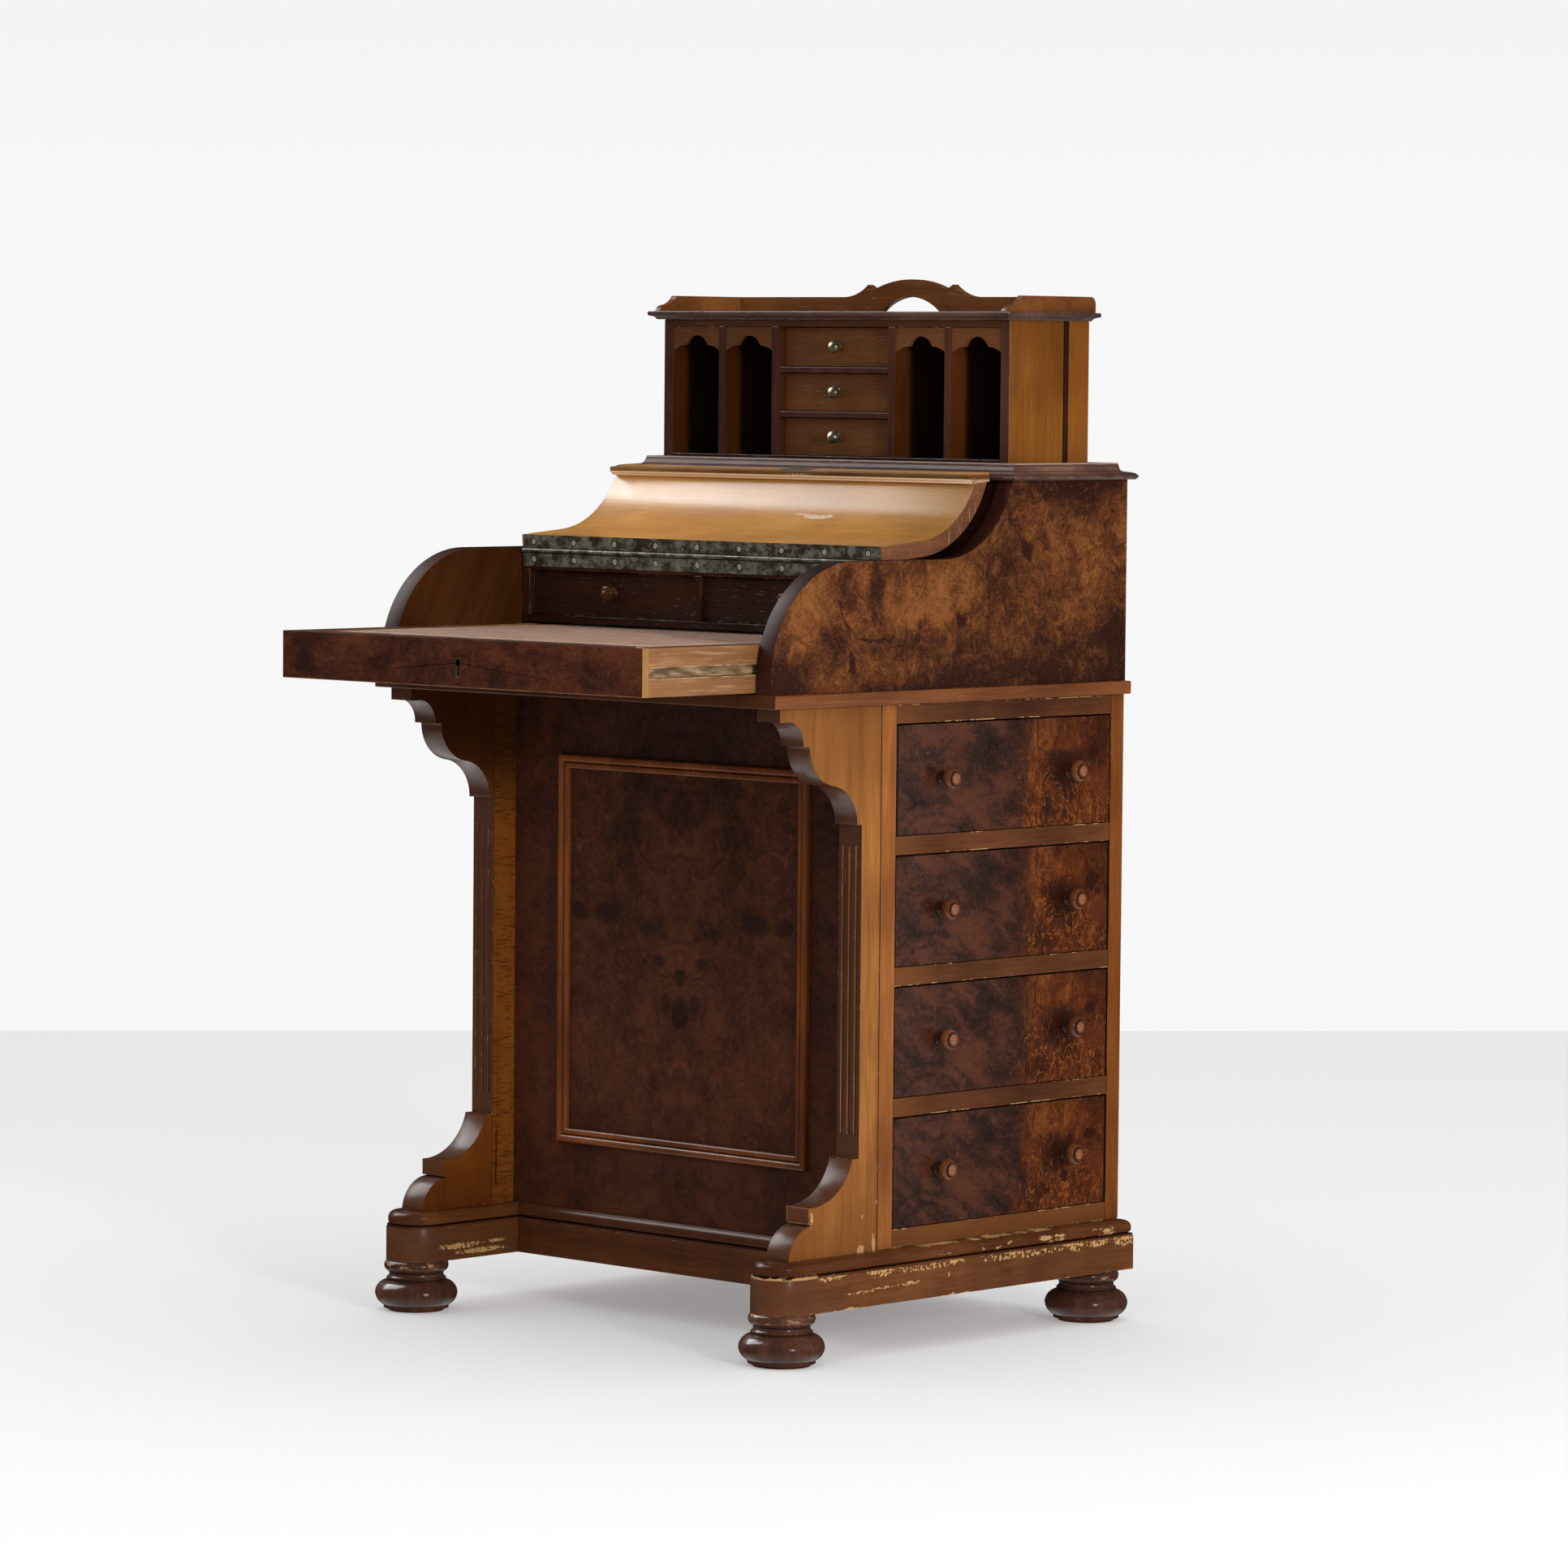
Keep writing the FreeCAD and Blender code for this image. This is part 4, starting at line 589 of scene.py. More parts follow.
knobs = {
    "names": ["drawer_1_knobs", "drawer_2_knobs", "drawer_3_knobs", "drawer_4_knobs", "dummy_knobs"],
    "middle": 0.16055, "spread": 0.1015, "rise": 0.05875, "groove": (0.0068, 0.0084), "neck": (0.3025, 0.3),
    "crown": (0.0062, 0.004), "crownHighlight": (0.34, 0.14, 0.06),
}


def knobFinish(k):
    f = Finish("knobWalnut")
    colour, fibre = straightGrain(f, tinted(russet, 1.25, 1.0, 0.9), "x")
    u = abs(f.y - k["middle"]) - k["spread"]
    v = (f.z - sides["low"]).wrapped(sides["pitch"]) - k["rise"]
    radius = (u * u + v * v).root()
    dark = radius.between(*k["groove"], 0.0006) + abs(f.x).over(*k["neck"])
    colour = f.mix(dark.smaller(1.0) * 0.85, colour, umber["dark"])
    # a painted highlight, lighter in the middle of each knob head
    colour = f.mix(radius.over(*k["crown"]) * 0.5, colour, k["crownHighlight"])
    return f.done(colour, f.polish(0.16, 0.12, 60), f.bump(fibre, 0.00005), specular=0.3)


wear(knobs["names"], knobFinish(knobs))

cheeks = {
    "names": ["cheek_left", "cheek_right"],
    "tones": ((0.027, 0.0085, 0.005), (0.112, 0.0345, 0.01), (0.22, 0.077, 0.02)),
    "scratch": (0.36, 0.2, 0.11),
    "inside": {"dark": (0.03, 0.0085, 0.0025), "mid": (0.06, 0.018, 0.005), "light": (0.095, 0.031, 0.009)},
    "dark": [(0.36, 0.715, 0.1, 0.05, 0.1), (-0.045, 0.8, 0.014, 0.045, 0.11),
             (-0.09, 0.803, 0.02, 0.034, 0.08), (-0.0815, 0.722, 0.008, 0.013, 0.2),
             (0.085, 0.763, 0.009, 0.011, 0.16), (0.026, 0.764, 0.007, 0.009, 0.12),
             (0.19, 0.835, 0.01, 0.013, 0.15), (0.335, 0.7605, 0.006, 0.012, 0.15),
             (0.34, 0.7, 0.15, 0.09, 0.125), (0.17, 0.692, 0.26, 0.045, 0.1),
             (-0.19, 0.69, 0.1, 0.045, 0.11), (0.27, 0.91, 0.15, 0.03, 0.09),
             (-0.12, 0.735, 0.04, 0.035, 0.08), (0.05, 0.74, 0.12, 0.025, 0.07)],
    "light": [(-0.14, 0.78, 0.04, 0.05, 0.06), (0.0, 0.785, 0.05, 0.03, 0.05),
              (0.27, 0.825, 0.07, 0.05, 0.04), (0.08, 0.8, 0.05, 0.03, 0.05)],
    "arc": {"middle": (-0.04, 0.79), "radii": (0.06, 0.044), "end": (-0.014, -0.026), "top": (0.797, 0.783)},
}


def cheekFinish(c):
    f = Finish("cheekBurr")
    figure = burrFigure(f, f.place, 0.8)
    ly, lz = f.parts(f.stirred(f.place, 40, 0.026, 4.0))[1:]
    figure = figure - f.spots(ly, lz, c["dark"]) + f.spots(ly, lz, c["light"])
    ring = f.ring(ly, lz, c["arc"]["middle"], c["arc"]["radii"]).root()
    arc = ring.near(1.0, 0.06, 0.01) * ly.over(*c["arc"]["end"]) * lz.over(*c["arc"]["top"])
    figure = figure - arc * 0.09
    outer = f.tones(figure.over(0.355, 0.68), *c["tones"])
    outer = f.mix(scratches(f, 0.6) * 0.4, outer, c["scratch"])
    inner = straightGrain(f, c["inside"], "z", f.mapped(f.place, (1, 1, 1), (0.5, 0, 0)))[0]
    edge = straightGrain(f, tinted(umber, 0.95, 0.8, 0.75), "y")[0]
    isFlat = f.sideways()
    colour = f.mix(isFlat, edge, f.mix(f.outward(), inner, outer))
    colour, bare = rubbed(f, colour, 0.25, 0.0014)
    rough = f.polish(0.42, 0.1, 20) - isFlat * 0.2 + bare * 0.3
    return f.done(colour, rough, f.bump(figure, veneerDepth), specular=0.035)


wear(cheeks["names"], cheekFinish(cheeks))
print("pedestal and cheeks veneered")

knee = {
    "tones": ((0.02, 0.0075, 0.005), (0.056, 0.0165, 0.0075), (0.095, 0.028, 0.0105)),
    "frame": ((0.017, 0.0075, 0.006), (0.044, 0.0135, 0.0075), (0.078, 0.022, 0.009)),
    "mirror": -0.004, "half": 0.173, "field": (0.196, 0.593), "fieldShade": (0.5, 0.62),
    "frameShade": (0.52, 0.64), "frameFoot": (0.3, 0.15), "frameLeft": (-0.16, -0.2),
    "dust": (0.3, 0.22, 0.17),
    "eyes": [(0.0, 0.335, 0.012, 0.02, 0.16), (0.02, 0.345, 0.01, 0.014, 0.12),
             (0.0, 0.375, 0.01, 0.012, 0.12), (0.03, 0.39, 0.014, 0.01, 0.1),
             (0.05, 0.42, 0.02, 0.012, 0.08), (0.075, 0.3, 0.016, 0.02, 0.08),
             (0.03, 0.26, 0.022, 0.016, 0.07), (0.11, 0.437, 0.026, 0.014, 0.12),
             (0.152, 0.437, 0.018, 0.014, 0.12), (0.0, 0.55, 0.03, 0.03, 0.1),
             (0.08, 0.53, 0.03, 0.03, 0.06)],
}


def kneeFinish(k):
    f = Finish("kneeBurr")
    mirrored = f.vector(abs(f.x - k["mirror"]), f.y, f.z)
    figure = burrFigure(f, mirrored, 1.0)
    lx, lz = f.parts(f.stirred(mirrored, 26, 0.016, 3.0))[::2]
    figure = figure - f.spots(lx, lz, k["eyes"])
    field = f.tones((figure - f.z.over(*k["fieldShade"]) * 0.08).over(0.32, 0.7), *k["tones"])
    around = figure - f.z.over(*k["frameShade"]) * 0.09
    around = around + f.z.over(*k["frameFoot"]) * 0.04 + f.x.over(*k["frameLeft"]) * 0.04
    plain = f.tones(around.over(0.3, 0.7), *k["frame"])
    inField = abs(f.x).over(k["half"] + 0.004, k["half"]) * f.z.between(*k["field"], 0.004)
    colour = f.mix(inField, plain, field)
    specks = f.noise(f.place, 520, 1.0).over(0.8, 0.83)
    colour = f.mix(specks * 0.4, colour, k["dust"])
    return f.done(colour, f.polish(0.22, 0.1, 14), f.bump(figure, veneerDepth))


wear(["knee_panel"], kneeFinish(knee))

plinth = {
    "top": 0.0915, "low": 0.055, "arm": 0.242, "nose": (-0.1, -0.16), "flaking": (-0.2, 0.05),
    "bare": ((0.42, 0.22, 0.08), (0.56, 0.33, 0.13)),
    "flakes": [(-0.046, 0.09, 0.03, 0.009, 0.62), (-0.126, 0.0905, 0.026, 0.006, 0.6),
               (0.264, 0.088, 0.02, 0.008, 0.6), (0.3, 0.089, 0.026, 0.007, 0.6),
               (0.345, 0.088, 0.03, 0.01, 0.62), (0.0, 0.0735, 0.026, 0.0035, 0.62),
               (-0.075, 0.071, 0.036, 0.0022, 0.6), (-0.04, 0.0725, 0.03, 0.002, 0.58),
               (0.06, 0.077, 0.004, 0.005, 0.6), (0.18, 0.087, 0.1, 0.006, 0.5),
               (0.03, 0.088, 0.08, 0.005, 0.5)],
    "scuffs": [(-0.125, 0.07, 0.045, 0.005, 0.7), (-0.095, 0.0625, 0.05, 0.004, 0.75),
               (-0.07, 0.071, 0.02, 0.003, 0.65)],
}


def plinthFinish(p):
    f = Finish("plinthWalnut")
    arm, fibre = straightGrain(f, tinted(russet, 1.22, 1.2, 1.04), "y")
    rail = straightGrain(f, tinted(russet, 0.85, 0.75, 0.7), "x")[0]
    onArm = abs(f.x).over(p["arm"] - 0.0006, p["arm"] - 0.0001)
    colour = f.mix(onArm, rail, arm)
    colour = f.mix(f.noise(f.place, 12, 3.0).over(0.45, 0.7) * 0.35, colour, umber["mid"])
    colour = f.mix((f.x * f.faceX).over(0.0, -0.1) * 0.25, colour, umber["mid"])
    colour = f.mix(f.y.over(*p["nose"]) * 0.45, colour, umber["light"])
    colour = rubbed(f, colour, 0.35, 0.002)[0]
    outer = f.outward()
    amount = f.y.over(*p["flaking"]) * 0.28
    lost = f.flakes(f.y, p["top"] - f.z, 0.0065, amount + 0.2) * outer
    lost = lost.larger(f.flakes(f.y, f.z - p["low"], 0.003, 0.42, 0.4) * outer)
    lost = lost.larger(f.torn(f.spots(f.y, f.z, p["flakes"])) * outer)
    onLeft = f.x.over(0.0005 - p["arm"], -0.0002 - p["arm"]) * f.faceX.over(0.5, 0.8)
    scuffed = f.torn(f.spots(f.y, f.z, p["scuffs"]), 300) * onLeft
    nicks = f.stretched((60, 40, 480), 1.0, 3.0, 0.7).over(0.75, 0.77)
    lost = lost.larger(nicks).larger(scuffed)
    colour = f.mix(lost, colour, f.mix(f.noise(f.place, 200, 2.0), *p["bare"]))
    return f.done(colour, f.polish(0.22, 0.14) + lost * 0.35, f.bump(fibre * 0.5 - lost * 3, 0.00012))


wear(["plinth_frame"], plinthFinish(plinth))

torus = {
    "low": 0.0942, "high": 0.109, "upper": (0.04, 0.22), "chips": (0.0955, 0.103), "rear": (0.02, 0.1),
    "right": (0.28, 0.285), "noseRight": (0.1, 0.2),
}


def torusFinish(t):
    f = Finish("baseMouldWalnut")
    colour, fibre = straightGrain(f, tinted(russet, 0.95, 0.86, 0.8), "y")
    # dark line painted in the crease under the torus, as shade
    groove = f.z.near(t["low"], 0.0012, 0.0004)
    colour = f.mix(groove * 0.85, colour, gapAndShade)
    colour = f.mix(abs(f.faceY).over(0.3, 0.6) * 0.5, colour, umber["mid"])
    right = f.x.over(*t["right"])
    broken = f.noise(f.vector(f.y, 0.0, 0.0), 26, 3.0, 0.6).over(0.44, 0.52)
    ragged = f.noise(f.vector(f.y * 0.3, f.z, 0.0), 400, 3.0, 0.7) - 0.5
    upper = (f.z - t["high"] + 0.0007 + ragged * 0.003).over(0.0, 0.0004) * broken
    upper = upper * f.y.between(*t["upper"], 0.03) * right
    chips = f.stretched((1, 0.3, 1), 210, 4.0, 0.65) * f.noise(f.vector(f.y, 0.0, 7.0), 24, 3.0)
    lower = chips.over(0.3, 0.32) * f.z.between(*t["chips"], 0.001) * f.y.over(*t["rear"]) * right
    onNose = f.y.over(*plinth["nose"]) * f.x.over(*t["noseRight"])
    nose = f.flakes(f.y + f.x, f.z - t["low"], 0.004, 0.3, 0.2) * onNose
    lost = upper.larger(lower).larger(nose)
    colour = f.mix(lost, colour, bareWood)
    rough = f.polish(0.2, 0.1, 40) + lost * 0.3
    return f.done(colour, rough, f.bump(fibre * 0.4 - lost * 2), specular=0.06)


wear(["base_moulding"], torusFinish(torus))

feet = {
    "collar": (0.0462, 0.055), "rings": (0.0345, 0.0415, 0.0075), "bare": (0.36, 0.2, 0.09),
    "wood": {"dark": (0.02, 0.008, 0.0055), "mid": (0.082, 0.032, 0.019), "light": (0.19, 0.08, 0.046)},
}


def footFinish(b):
    f = Finish("footWalnut")
    colour, fibre = straightGrain(f, b["wood"], "z")
    # dark rings painted at the creases of the turning, as shade
    for ring in b["rings"]:
        colour = f.mix(f.z.near(ring, 0.0016, 0.0004) * 0.8, colour, gapAndShade)
    worn = f.stretched((60, 60, 160), 1.0, 4.0, 0.7) * f.z.between(*b["collar"], 0.001)
    lost = worn.over(0.56, 0.64).larger(f.noise(f.place, 190, 3.0, 0.7).over(0.76, 0.78))
    colour = f.mix(lost * 0.85, colour, b["bare"])
    rough = f.polish(0.12, 0.1, 40) + lost * 0.3
    return f.done(colour, rough, f.bump(fibre - lost), specular=0.15)


wear(["bun_feet"], footFinish(feet))
print("base polished and worn")

lid = {
    "scuffs": [(0.0706, 0.101, 0.03, 0.0045, 0.9), (0.045, 0.104, 0.02, 0.003, 0.7),
               (0.0864, 0.042, 0.016, 0.002, 0.9), (-0.05, 0.07, 0.006, 0.004, 0.5),
               (0.03, 0.075, 0.004, 0.003, 0.5), (-0.12, 0.1, 0.01, 0.003, 0.4)],
    "upper": (0.868, 0.885), "middle": (-0.13, -0.02), "right": (0.1, 0.24), "pale": (0.78, 0.62, 0.46),
    "upperTone": (0.4, 0.22, 0.08), "haze": (0.42, 0.2, 0.06), "nick": (0.5, 0.36, 0.24),
}


def lidFinish(d):
    f = Finish("lidWalnut")
    colour, fibre = straightGrain(f, tinted(ochre, 1.06, 1.08, 1.1), "x")
    colour = f.mix(f.z.over(*d["upper"]) * 0.3, colour, d["upperTone"])
    haze = f.stretched((0.5, 1.4, 1.4), 16, 3.0, 0.5).over(0.4, 0.7)
    colour = f.mix(haze * 0.35, colour, d["haze"])
    shade = 1 - f.x.over(*d["middle"]) * 0.22 - f.x.over(*d["right"]) * 0.2
    colour = f.mix(1.0, colour, f.vector(shade, shade, shade), "MULTIPLY")
    lx, ly = f.parts(f.stirred(f.place, 60, 0.006, 3.0))[:2]
    scuffed = f.torn(f.spots(lx, ly, d["scuffs"]), 500, 0.5) * (f.noise(f.place, 300, 3.0) * 0.6 + 0.55)
    colour = f.mix(scuffed.larger(scratches(f, 1.2) * 0.35), colour, d["pale"])
    end = straightGrain(f, tinted(russet, 1.95, 2.15, 2.5), "y")[0]
    nick = f.stretched((1, 480, 30), 1.0, 2.0).over(0.64, 0.7)
    end = f.mix(nick * 0.4, end, d["nick"])
    colour = f.mix(f.sideways(), colour, end)
    under = f.faceZ.over(-0.05, -0.3).larger(f.faceY.over(0.3, 0.6))
    colour = f.mix(under * 0.7, colour, russet["mid"])
    return f.done(colour, f.polish(0.2, 0.12, 16) + scuffed * 0.3, f.bump(fibre, 0.00006))


wear(["lid_panel"], lidFinish(lid))

lipping = {
    "lines": (0.9127, 0.9165), "lineTone": (0.05, 0.018, 0.006), "nose": (0.913, 0.9163),
    "noseWood": {"dark": (0.08, 0.036, 0.009), "mid": (0.17, 0.082, 0.021), "light": (0.27, 0.135, 0.036)},
    "rub": (0.66, 0.42, 0.18), "scrape": [(0.02, 0.913, 0.028, 0.0016, 0.6)], "scraped": (0.5, 0.42, 0.26),
    "below": (0.8, 0.56, 0.36),
}


def lippingFinish(p):
    f = Finish("lippingOchre")
    colour, fibre = straightGrain(f, tinted(ochre, 0.95, 0.95, 1.25), "x")
    for line in p["lines"]:
        colour = f.mix(f.z.near(line, 0.0011, 0.0003) * 0.7, colour, p["lineTone"])
    nose = straightGrain(f, p["noseWood"], "x")[0]
    colour = f.mix(f.z.between(*p["nose"], 0.0005), colour, nose)
    patch = f.stretched((0.25, 1, 1), 120, 3.0, 0.6)
    rub = (f.edges(0.0014).over(0.02, 0.2) * patch).over(0.4, 0.54)
    colour = f.mix(rub * 0.6, colour, p["rub"])
    scraped = f.torn(f.spots(f.x, f.z, p["scrape"]), 300)
    colour = f.mix(scraped * 0.7, colour, p["scraped"])
    # below the nose the lipping is painted in the pale of the lid's lit band, a painted highlight
    colour = f.mix(f.z.over(p["nose"][0] - 0.0006, p["nose"][0] - 0.0012), colour, p["below"])
    colour = f.mix(f.sideways() * 0.6, colour, russet["mid"])
    return f.done(colour, f.polish(0.16, 0.12) + rub * 0.15, f.bump(fibre, 0.00008), specular=0.06)


wear(["lid_lipping"], lippingFinish(lipping))

slide = {
    "low": 0.696, "tones": ((0.02, 0.0075, 0.0055), (0.058, 0.0165, 0.0085), (0.108, 0.032, 0.0135)),
    "eyes": [(-0.2334, 0.7129, 0.022, 0.016, 0.1), (-0.1176, 0.7198, 0.026, 0.014, 0.05),
             (0.05, 0.71, 0.03, 0.014, 0.06), (0.2, 0.716, 0.06, 0.02, 0.06)],
    "paler": (-0.1, 0.2), "key": {"z": 0.7214, "r": 0.004, "slot": 0.0021, "low": 0.7062},
    "keyRim": (0.1, 0.085, 0.065), "keyHole": (0.001, 0.0006, 0.0005),
}


def slideFinish(s):
    f = Finish("slideBurr")
    figure = burrFigure(f, f.mapped(f.place, (0.7, 1, 1)), 0.8)
    lx, lz = f.parts(f.stirred(f.place, 26, 0.02, 3.0))[::2]
    figure = figure - f.spots(lx, lz, s["eyes"]) + f.x.over(*s["paler"]) * 0.03
    colour = f.tones(figure.over(0.33, 0.7), *s["tones"])
    colour = f.mix(f.edges(0.0012).over(0.02, 0.2) * 0.4, colour, soot)
    under = (f.z - s["low"]).over(0.0012, 0.0004) * f.noise(f.vector(f.x, 0.0, 0.0), 20, 3.0).over(0.36, 0.5)
    colour = f.mix(under * 0.35, colour, bareWood)
    k = s["key"]
    bow = (f.x * f.x + (f.z - k["z"]) * (f.z - k["z"])).root() - k["r"]
    slot = abs(f.x).larger((k["low"] - f.z).larger(f.z - k["z"]) + k["slot"]) - k["slot"]
    key = bow.smaller(slot)  # how far outside the keyhole
    colour = f.mix(key.between(0.0, 0.0007, 0.0003) * 0.4, colour, s["keyRim"])
    # the keyhole and its walls are painted near black, as shade
    colour = f.mix(key.over(0.0001, -0.0002), colour, s["keyHole"])
    end = straightGrain(f, tinted(blond, 1.1, 1.05, 0.9), "z")[0]
    colour = f.mix(f.outward(), colour, end)
    inside = f.faceY.over(0.3, 0.6).larger(f.faceZ.over(0.5, 0.8))
    colour = f.mix(inside * 0.5, colour, russet["mid"])
    return f.done(colour, f.polish(0.16, 0.1, 14), f.bump(figure, veneerDepth), specular=0.08)


wear(["slide_front"], slideFinish(slide))

rails = {
    "groove": (0.715, 0.7254), "half": 0.2685, "pale": (0.5, 0.3, 0.13), "dark": (0.2, 0.085, 0.02),
    "brown": (0.24, 0.1, 0.03), "rim": (0.62, 0.46, 0.27), "scraped": (0.5, 0.34, 0.2),
    "soil": ((0.13, 0.075, 0.036), (0.29, 0.185, 0.095), (0.44, 0.3, 0.165)),
}


def railFinish(r):
    f = Finish("slideRailBlond")
    colour, fibre = straightGrain(f, tinted(blond, 0.84, 0.72, 0.83), "y")
    streaks = f.stretched((1, 14, 260), 1.0, 3.0, 0.6)
    colour = f.mix(streaks.over(0.52, 0.7) * 0.45, colour, r["pale"])
    colour = f.mix(streaks.over(0.46, 0.3) * 0.5, colour, r["dark"])
    brown = f.stretched((1, 1, 2), 22, 2.0).over(0.5, 0.66)
    colour = f.mix(brown * 0.7, colour, r["brown"])
    low, high = r["groove"]
    rim = abs(abs(f.z - (low + high) / 2) - (high - low) / 2)
    worn = rim.over(0.0016, 0.0002) * f.stretched((1, 60, 200), 1.0, 3.0, 0.7).over(0.4, 0.6)
    colour = f.mix(worn * 0.7, colour, r["rim"])
    inGroove = f.z.between(low, high, 0.0004) * abs(f.x).over(r["half"] - 0.0006, r["half"] - 0.0012)
    soil = f.stretched((1, 30, 160), 1.0, 3.0, 0.6)
    colour = f.mix(inGroove, colour, f.tones(soil.over(0.35, 0.65), *r["soil"]))
    lip = straightGrain(f, tinted(russet, 1.2, 1.1, 1.0), "x")[0]
    scraped = f.stretched((20, 20, 20), 1.0, 4.0, 0.7).over(0.56, 0.66)
    colour = f.mix(f.faceZ.over(0.5, 0.8), colour, f.mix(scraped * 0.5, lip, r["scraped"]))
    return f.done(colour, f.polish(0.32, 0.12), f.bump(fibre))


wear(["slide_rails"], railFinish(rails))

hinge = {
    "axis": 0.826, "offset": 0.0095, "pitch": 0.0625, "head": 0.0031, "knuckle": 0.0026, "shine": 0.0012,
    "front": (0.02, 0.01),
    "tones": ((0.034, 0.028, 0.018), (0.086, 0.077, 0.053), (0.165, 0.155, 0.12)),
    "rust": (0.03, 0.019, 0.011), "pit": (0.018, 0.012, 0.008), "screw": (0.5, 0.47, 0.38),
    "rim": (0.02, 0.016, 0.012), "slot": (0.012, 0.01, 0.008), "bright": (0.4, 0.38, 0.34),
}


def hingeFinish(h):
    f = Finish("tarnishedSteel")
    patch = f.stretched((0.7, 1, 1), 80, 4.0, 0.65)
    fine = f.noise(f.place, 420, 3.0, 0.7)
    tone = f.tones((patch + fine * 0.25 - 0.12).over(0.36, 0.62), *h["tones"])
    rust = f.stretched((0.8, 1, 1), 46, 4.0, 0.7).over(0.55, 0.62)
    tone = f.mix(rust * 0.85, tone, h["rust"])
    pits = f.noise(f.place, 260, 2.0, 0.6).over(0.66, 0.7)
    tone = f.mix(pits * 0.8, tone, h["pit"])
    u = (f.x + h["pitch"] / 2).wrapped(h["pitch"]) - h["pitch"] / 2
    rise = f.z - h["axis"]
    v = abs(rise) - h["offset"]
    radius = (u * u + v * v).root()
    near = f.y.over(*h["front"])
    head = radius.over(h["head"], h["head"] - 0.0004) * near
    tone = f.mix(head * 0.9, tone, h["screw"])
    # a dark ring of painted shade round each screw head
    tone = f.mix(radius.between(h["head"], h["head"] + 0.0008, 0.0003) * near * 0.9, tone, h["rim"])
    tone = f.mix(head * abs(u + v * 0.7).over(0.0006, 0.0003), tone, h["slot"])
    # a painted highlight: a broken glint along the knuckle
    broken = f.noise(f.vector(f.x, 0.0, 0.0), 30, 3.0, 0.6).over(0.54, 0.62)
    bright = rise.near(h["shine"], 0.0008, 0.0003) * broken * near
    tone = f.mix(bright * 0.6, tone, h["bright"])
    # painted shade in the creases at the knuckle's edges
    tone = f.mix(abs(rise).near(h["knuckle"], 0.0009, 0.0003) * near * 0.7, tone, h["slot"])
    return f.done(tone, patch * 0.2 + 0.2, f.bump(patch + fine * 0.4, 0.00012), metallic=0.05, specular=0.04)


wear(["hinge_fixed_leaf", "hinge_lid_leaf", "hinge_pin"], hingeFinish(hinge))

metals = [
    {"name": "plateSteel", "tones": ((0.05, 0.045, 0.03), (0.14, 0.13, 0.1), (0.25, 0.24, 0.2)),
     "metallic": 0.6, "rough": 0.3, "pieces": ["strike_plate", "lock_bolt"]},
    {"name": "lockSteel", "tones": ((0.004, 0.004, 0.003), (0.008, 0.007, 0.006), (0.014, 0.012, 0.01)),
     "metallic": 0.2, "rough": 0.5, "pieces": ["lock_case"]},
    {"name": "agedBrass", "tones": ((0.1, 0.08, 0.045), (0.2, 0.165, 0.105), (0.32, 0.275, 0.19)),
     "metallic": 0.85, "rough": 0.24,
     "pieces": ["till_drawer_top_knob", "till_drawer_middle_knob", "till_drawer_bottom_knob"]},
]


def metalFinish(m):
    f = Finish(m["name"])
    patch = f.noise(f.place, 160, 4.0, 0.7)
    tone = f.tones(patch.over(0.3, 0.75), *m["tones"])
    rough = patch * 0.25 + m["rough"]
    return f.done(tone, rough, f.bump(patch), metallic=m["metallic"], specular=0.3)


for metal in metals:
    wear(metal["pieces"], metalFinish(metal))
print("lid, slide and metal finished")

till = {
    "groove": 0.28865, "front": 0.19705, "lit": (0.03, 0.021), "stainRise": (0.9, 1.06),
    "capShade": (1.0715, 1.0735), "drawerBay": (0.086, 0.084), "line": (0.2, 0.12, 0.09),
    "deepShade": (0.02, 0.008, 0.004), "inside": (0.06, 0.016, 0.003), "stain": (0.07, 0.025, 0.006),
    "wood": {"dark": (0.075, 0.025, 0.008), "mid": (0.122, 0.043, 0.0135), "light": (0.165, 0.062, 0.02)},
    "edge": {"dark": (0.03, 0.01, 0.0065), "mid": (0.06, 0.021, 0.0125), "light": (0.1, 0.037, 0.022)},
    "divider": {"dark": (0.045, 0.012, 0.0025), "mid": (0.075, 0.021, 0.004), "light": (0.11, 0.033, 0.007)},
}


def tillEdge(f, t, face):  # a piece of the till with the front edge in its own tone
    edge = straightGrain(f, t["edge"], "z")[0]
    return f.mix(f.faceY.over(-0.6, -0.8), face, edge)


def tillDepth(f, t, face):  # painted shade: a face painted as lit near the front and dark deeper inside
    return f.mix((f.y - t["front"]).over(*t["lit"]), t["deepShade"], face)


def tillSideFinish(t):
    f = Finish("tillSideWalnut")
    colour, fibre = straightGrain(f, tinted(honey, 0.6, 0.52, 0.3), "z")
    stain = f.stretched((1, 1, 0.4), 22, 3.0).over(0.45, 0.7) * f.z.over(*t["stainRise"])
    colour = f.mix(stain * 0.55, colour, t["stain"])
    behind = (f.y - t["groove"]).over(0.004, 0.005)
    colour = f.mix(behind * 0.3, colour, tinted(honey, 0.9, 0.75, 0.35)["mid"])
    groove = f.y.near(t["groove"], 0.0046, 0.004)
    colour = f.mix(groove * 0.9, colour, gapAndShade)
    colour = f.mix(f.inward(), colour, tillDepth(f, t, t["inside"]))
    colour = rubbed(f, tillEdge(f, t, colour), 0.2, 0.0012)[0]
    return f.done(colour, f.polish(0.18, 0.12), f.bump(fibre), specular=0.08)


def tillFrontFinish(t):
    f = Finish("tillFrontWalnut")
    colour, fibre = straightGrain(f, t["wood"], "x")
    colour = f.mix(f.z.over(*t["capShade"]) * 0.5, colour, umber["dark"])
    colour, bare = rubbed(f, colour, 0.2)
    return f.done(colour, f.polish(0.18, 0.1), f.bump(fibre - bare * 2), specular=0.07)


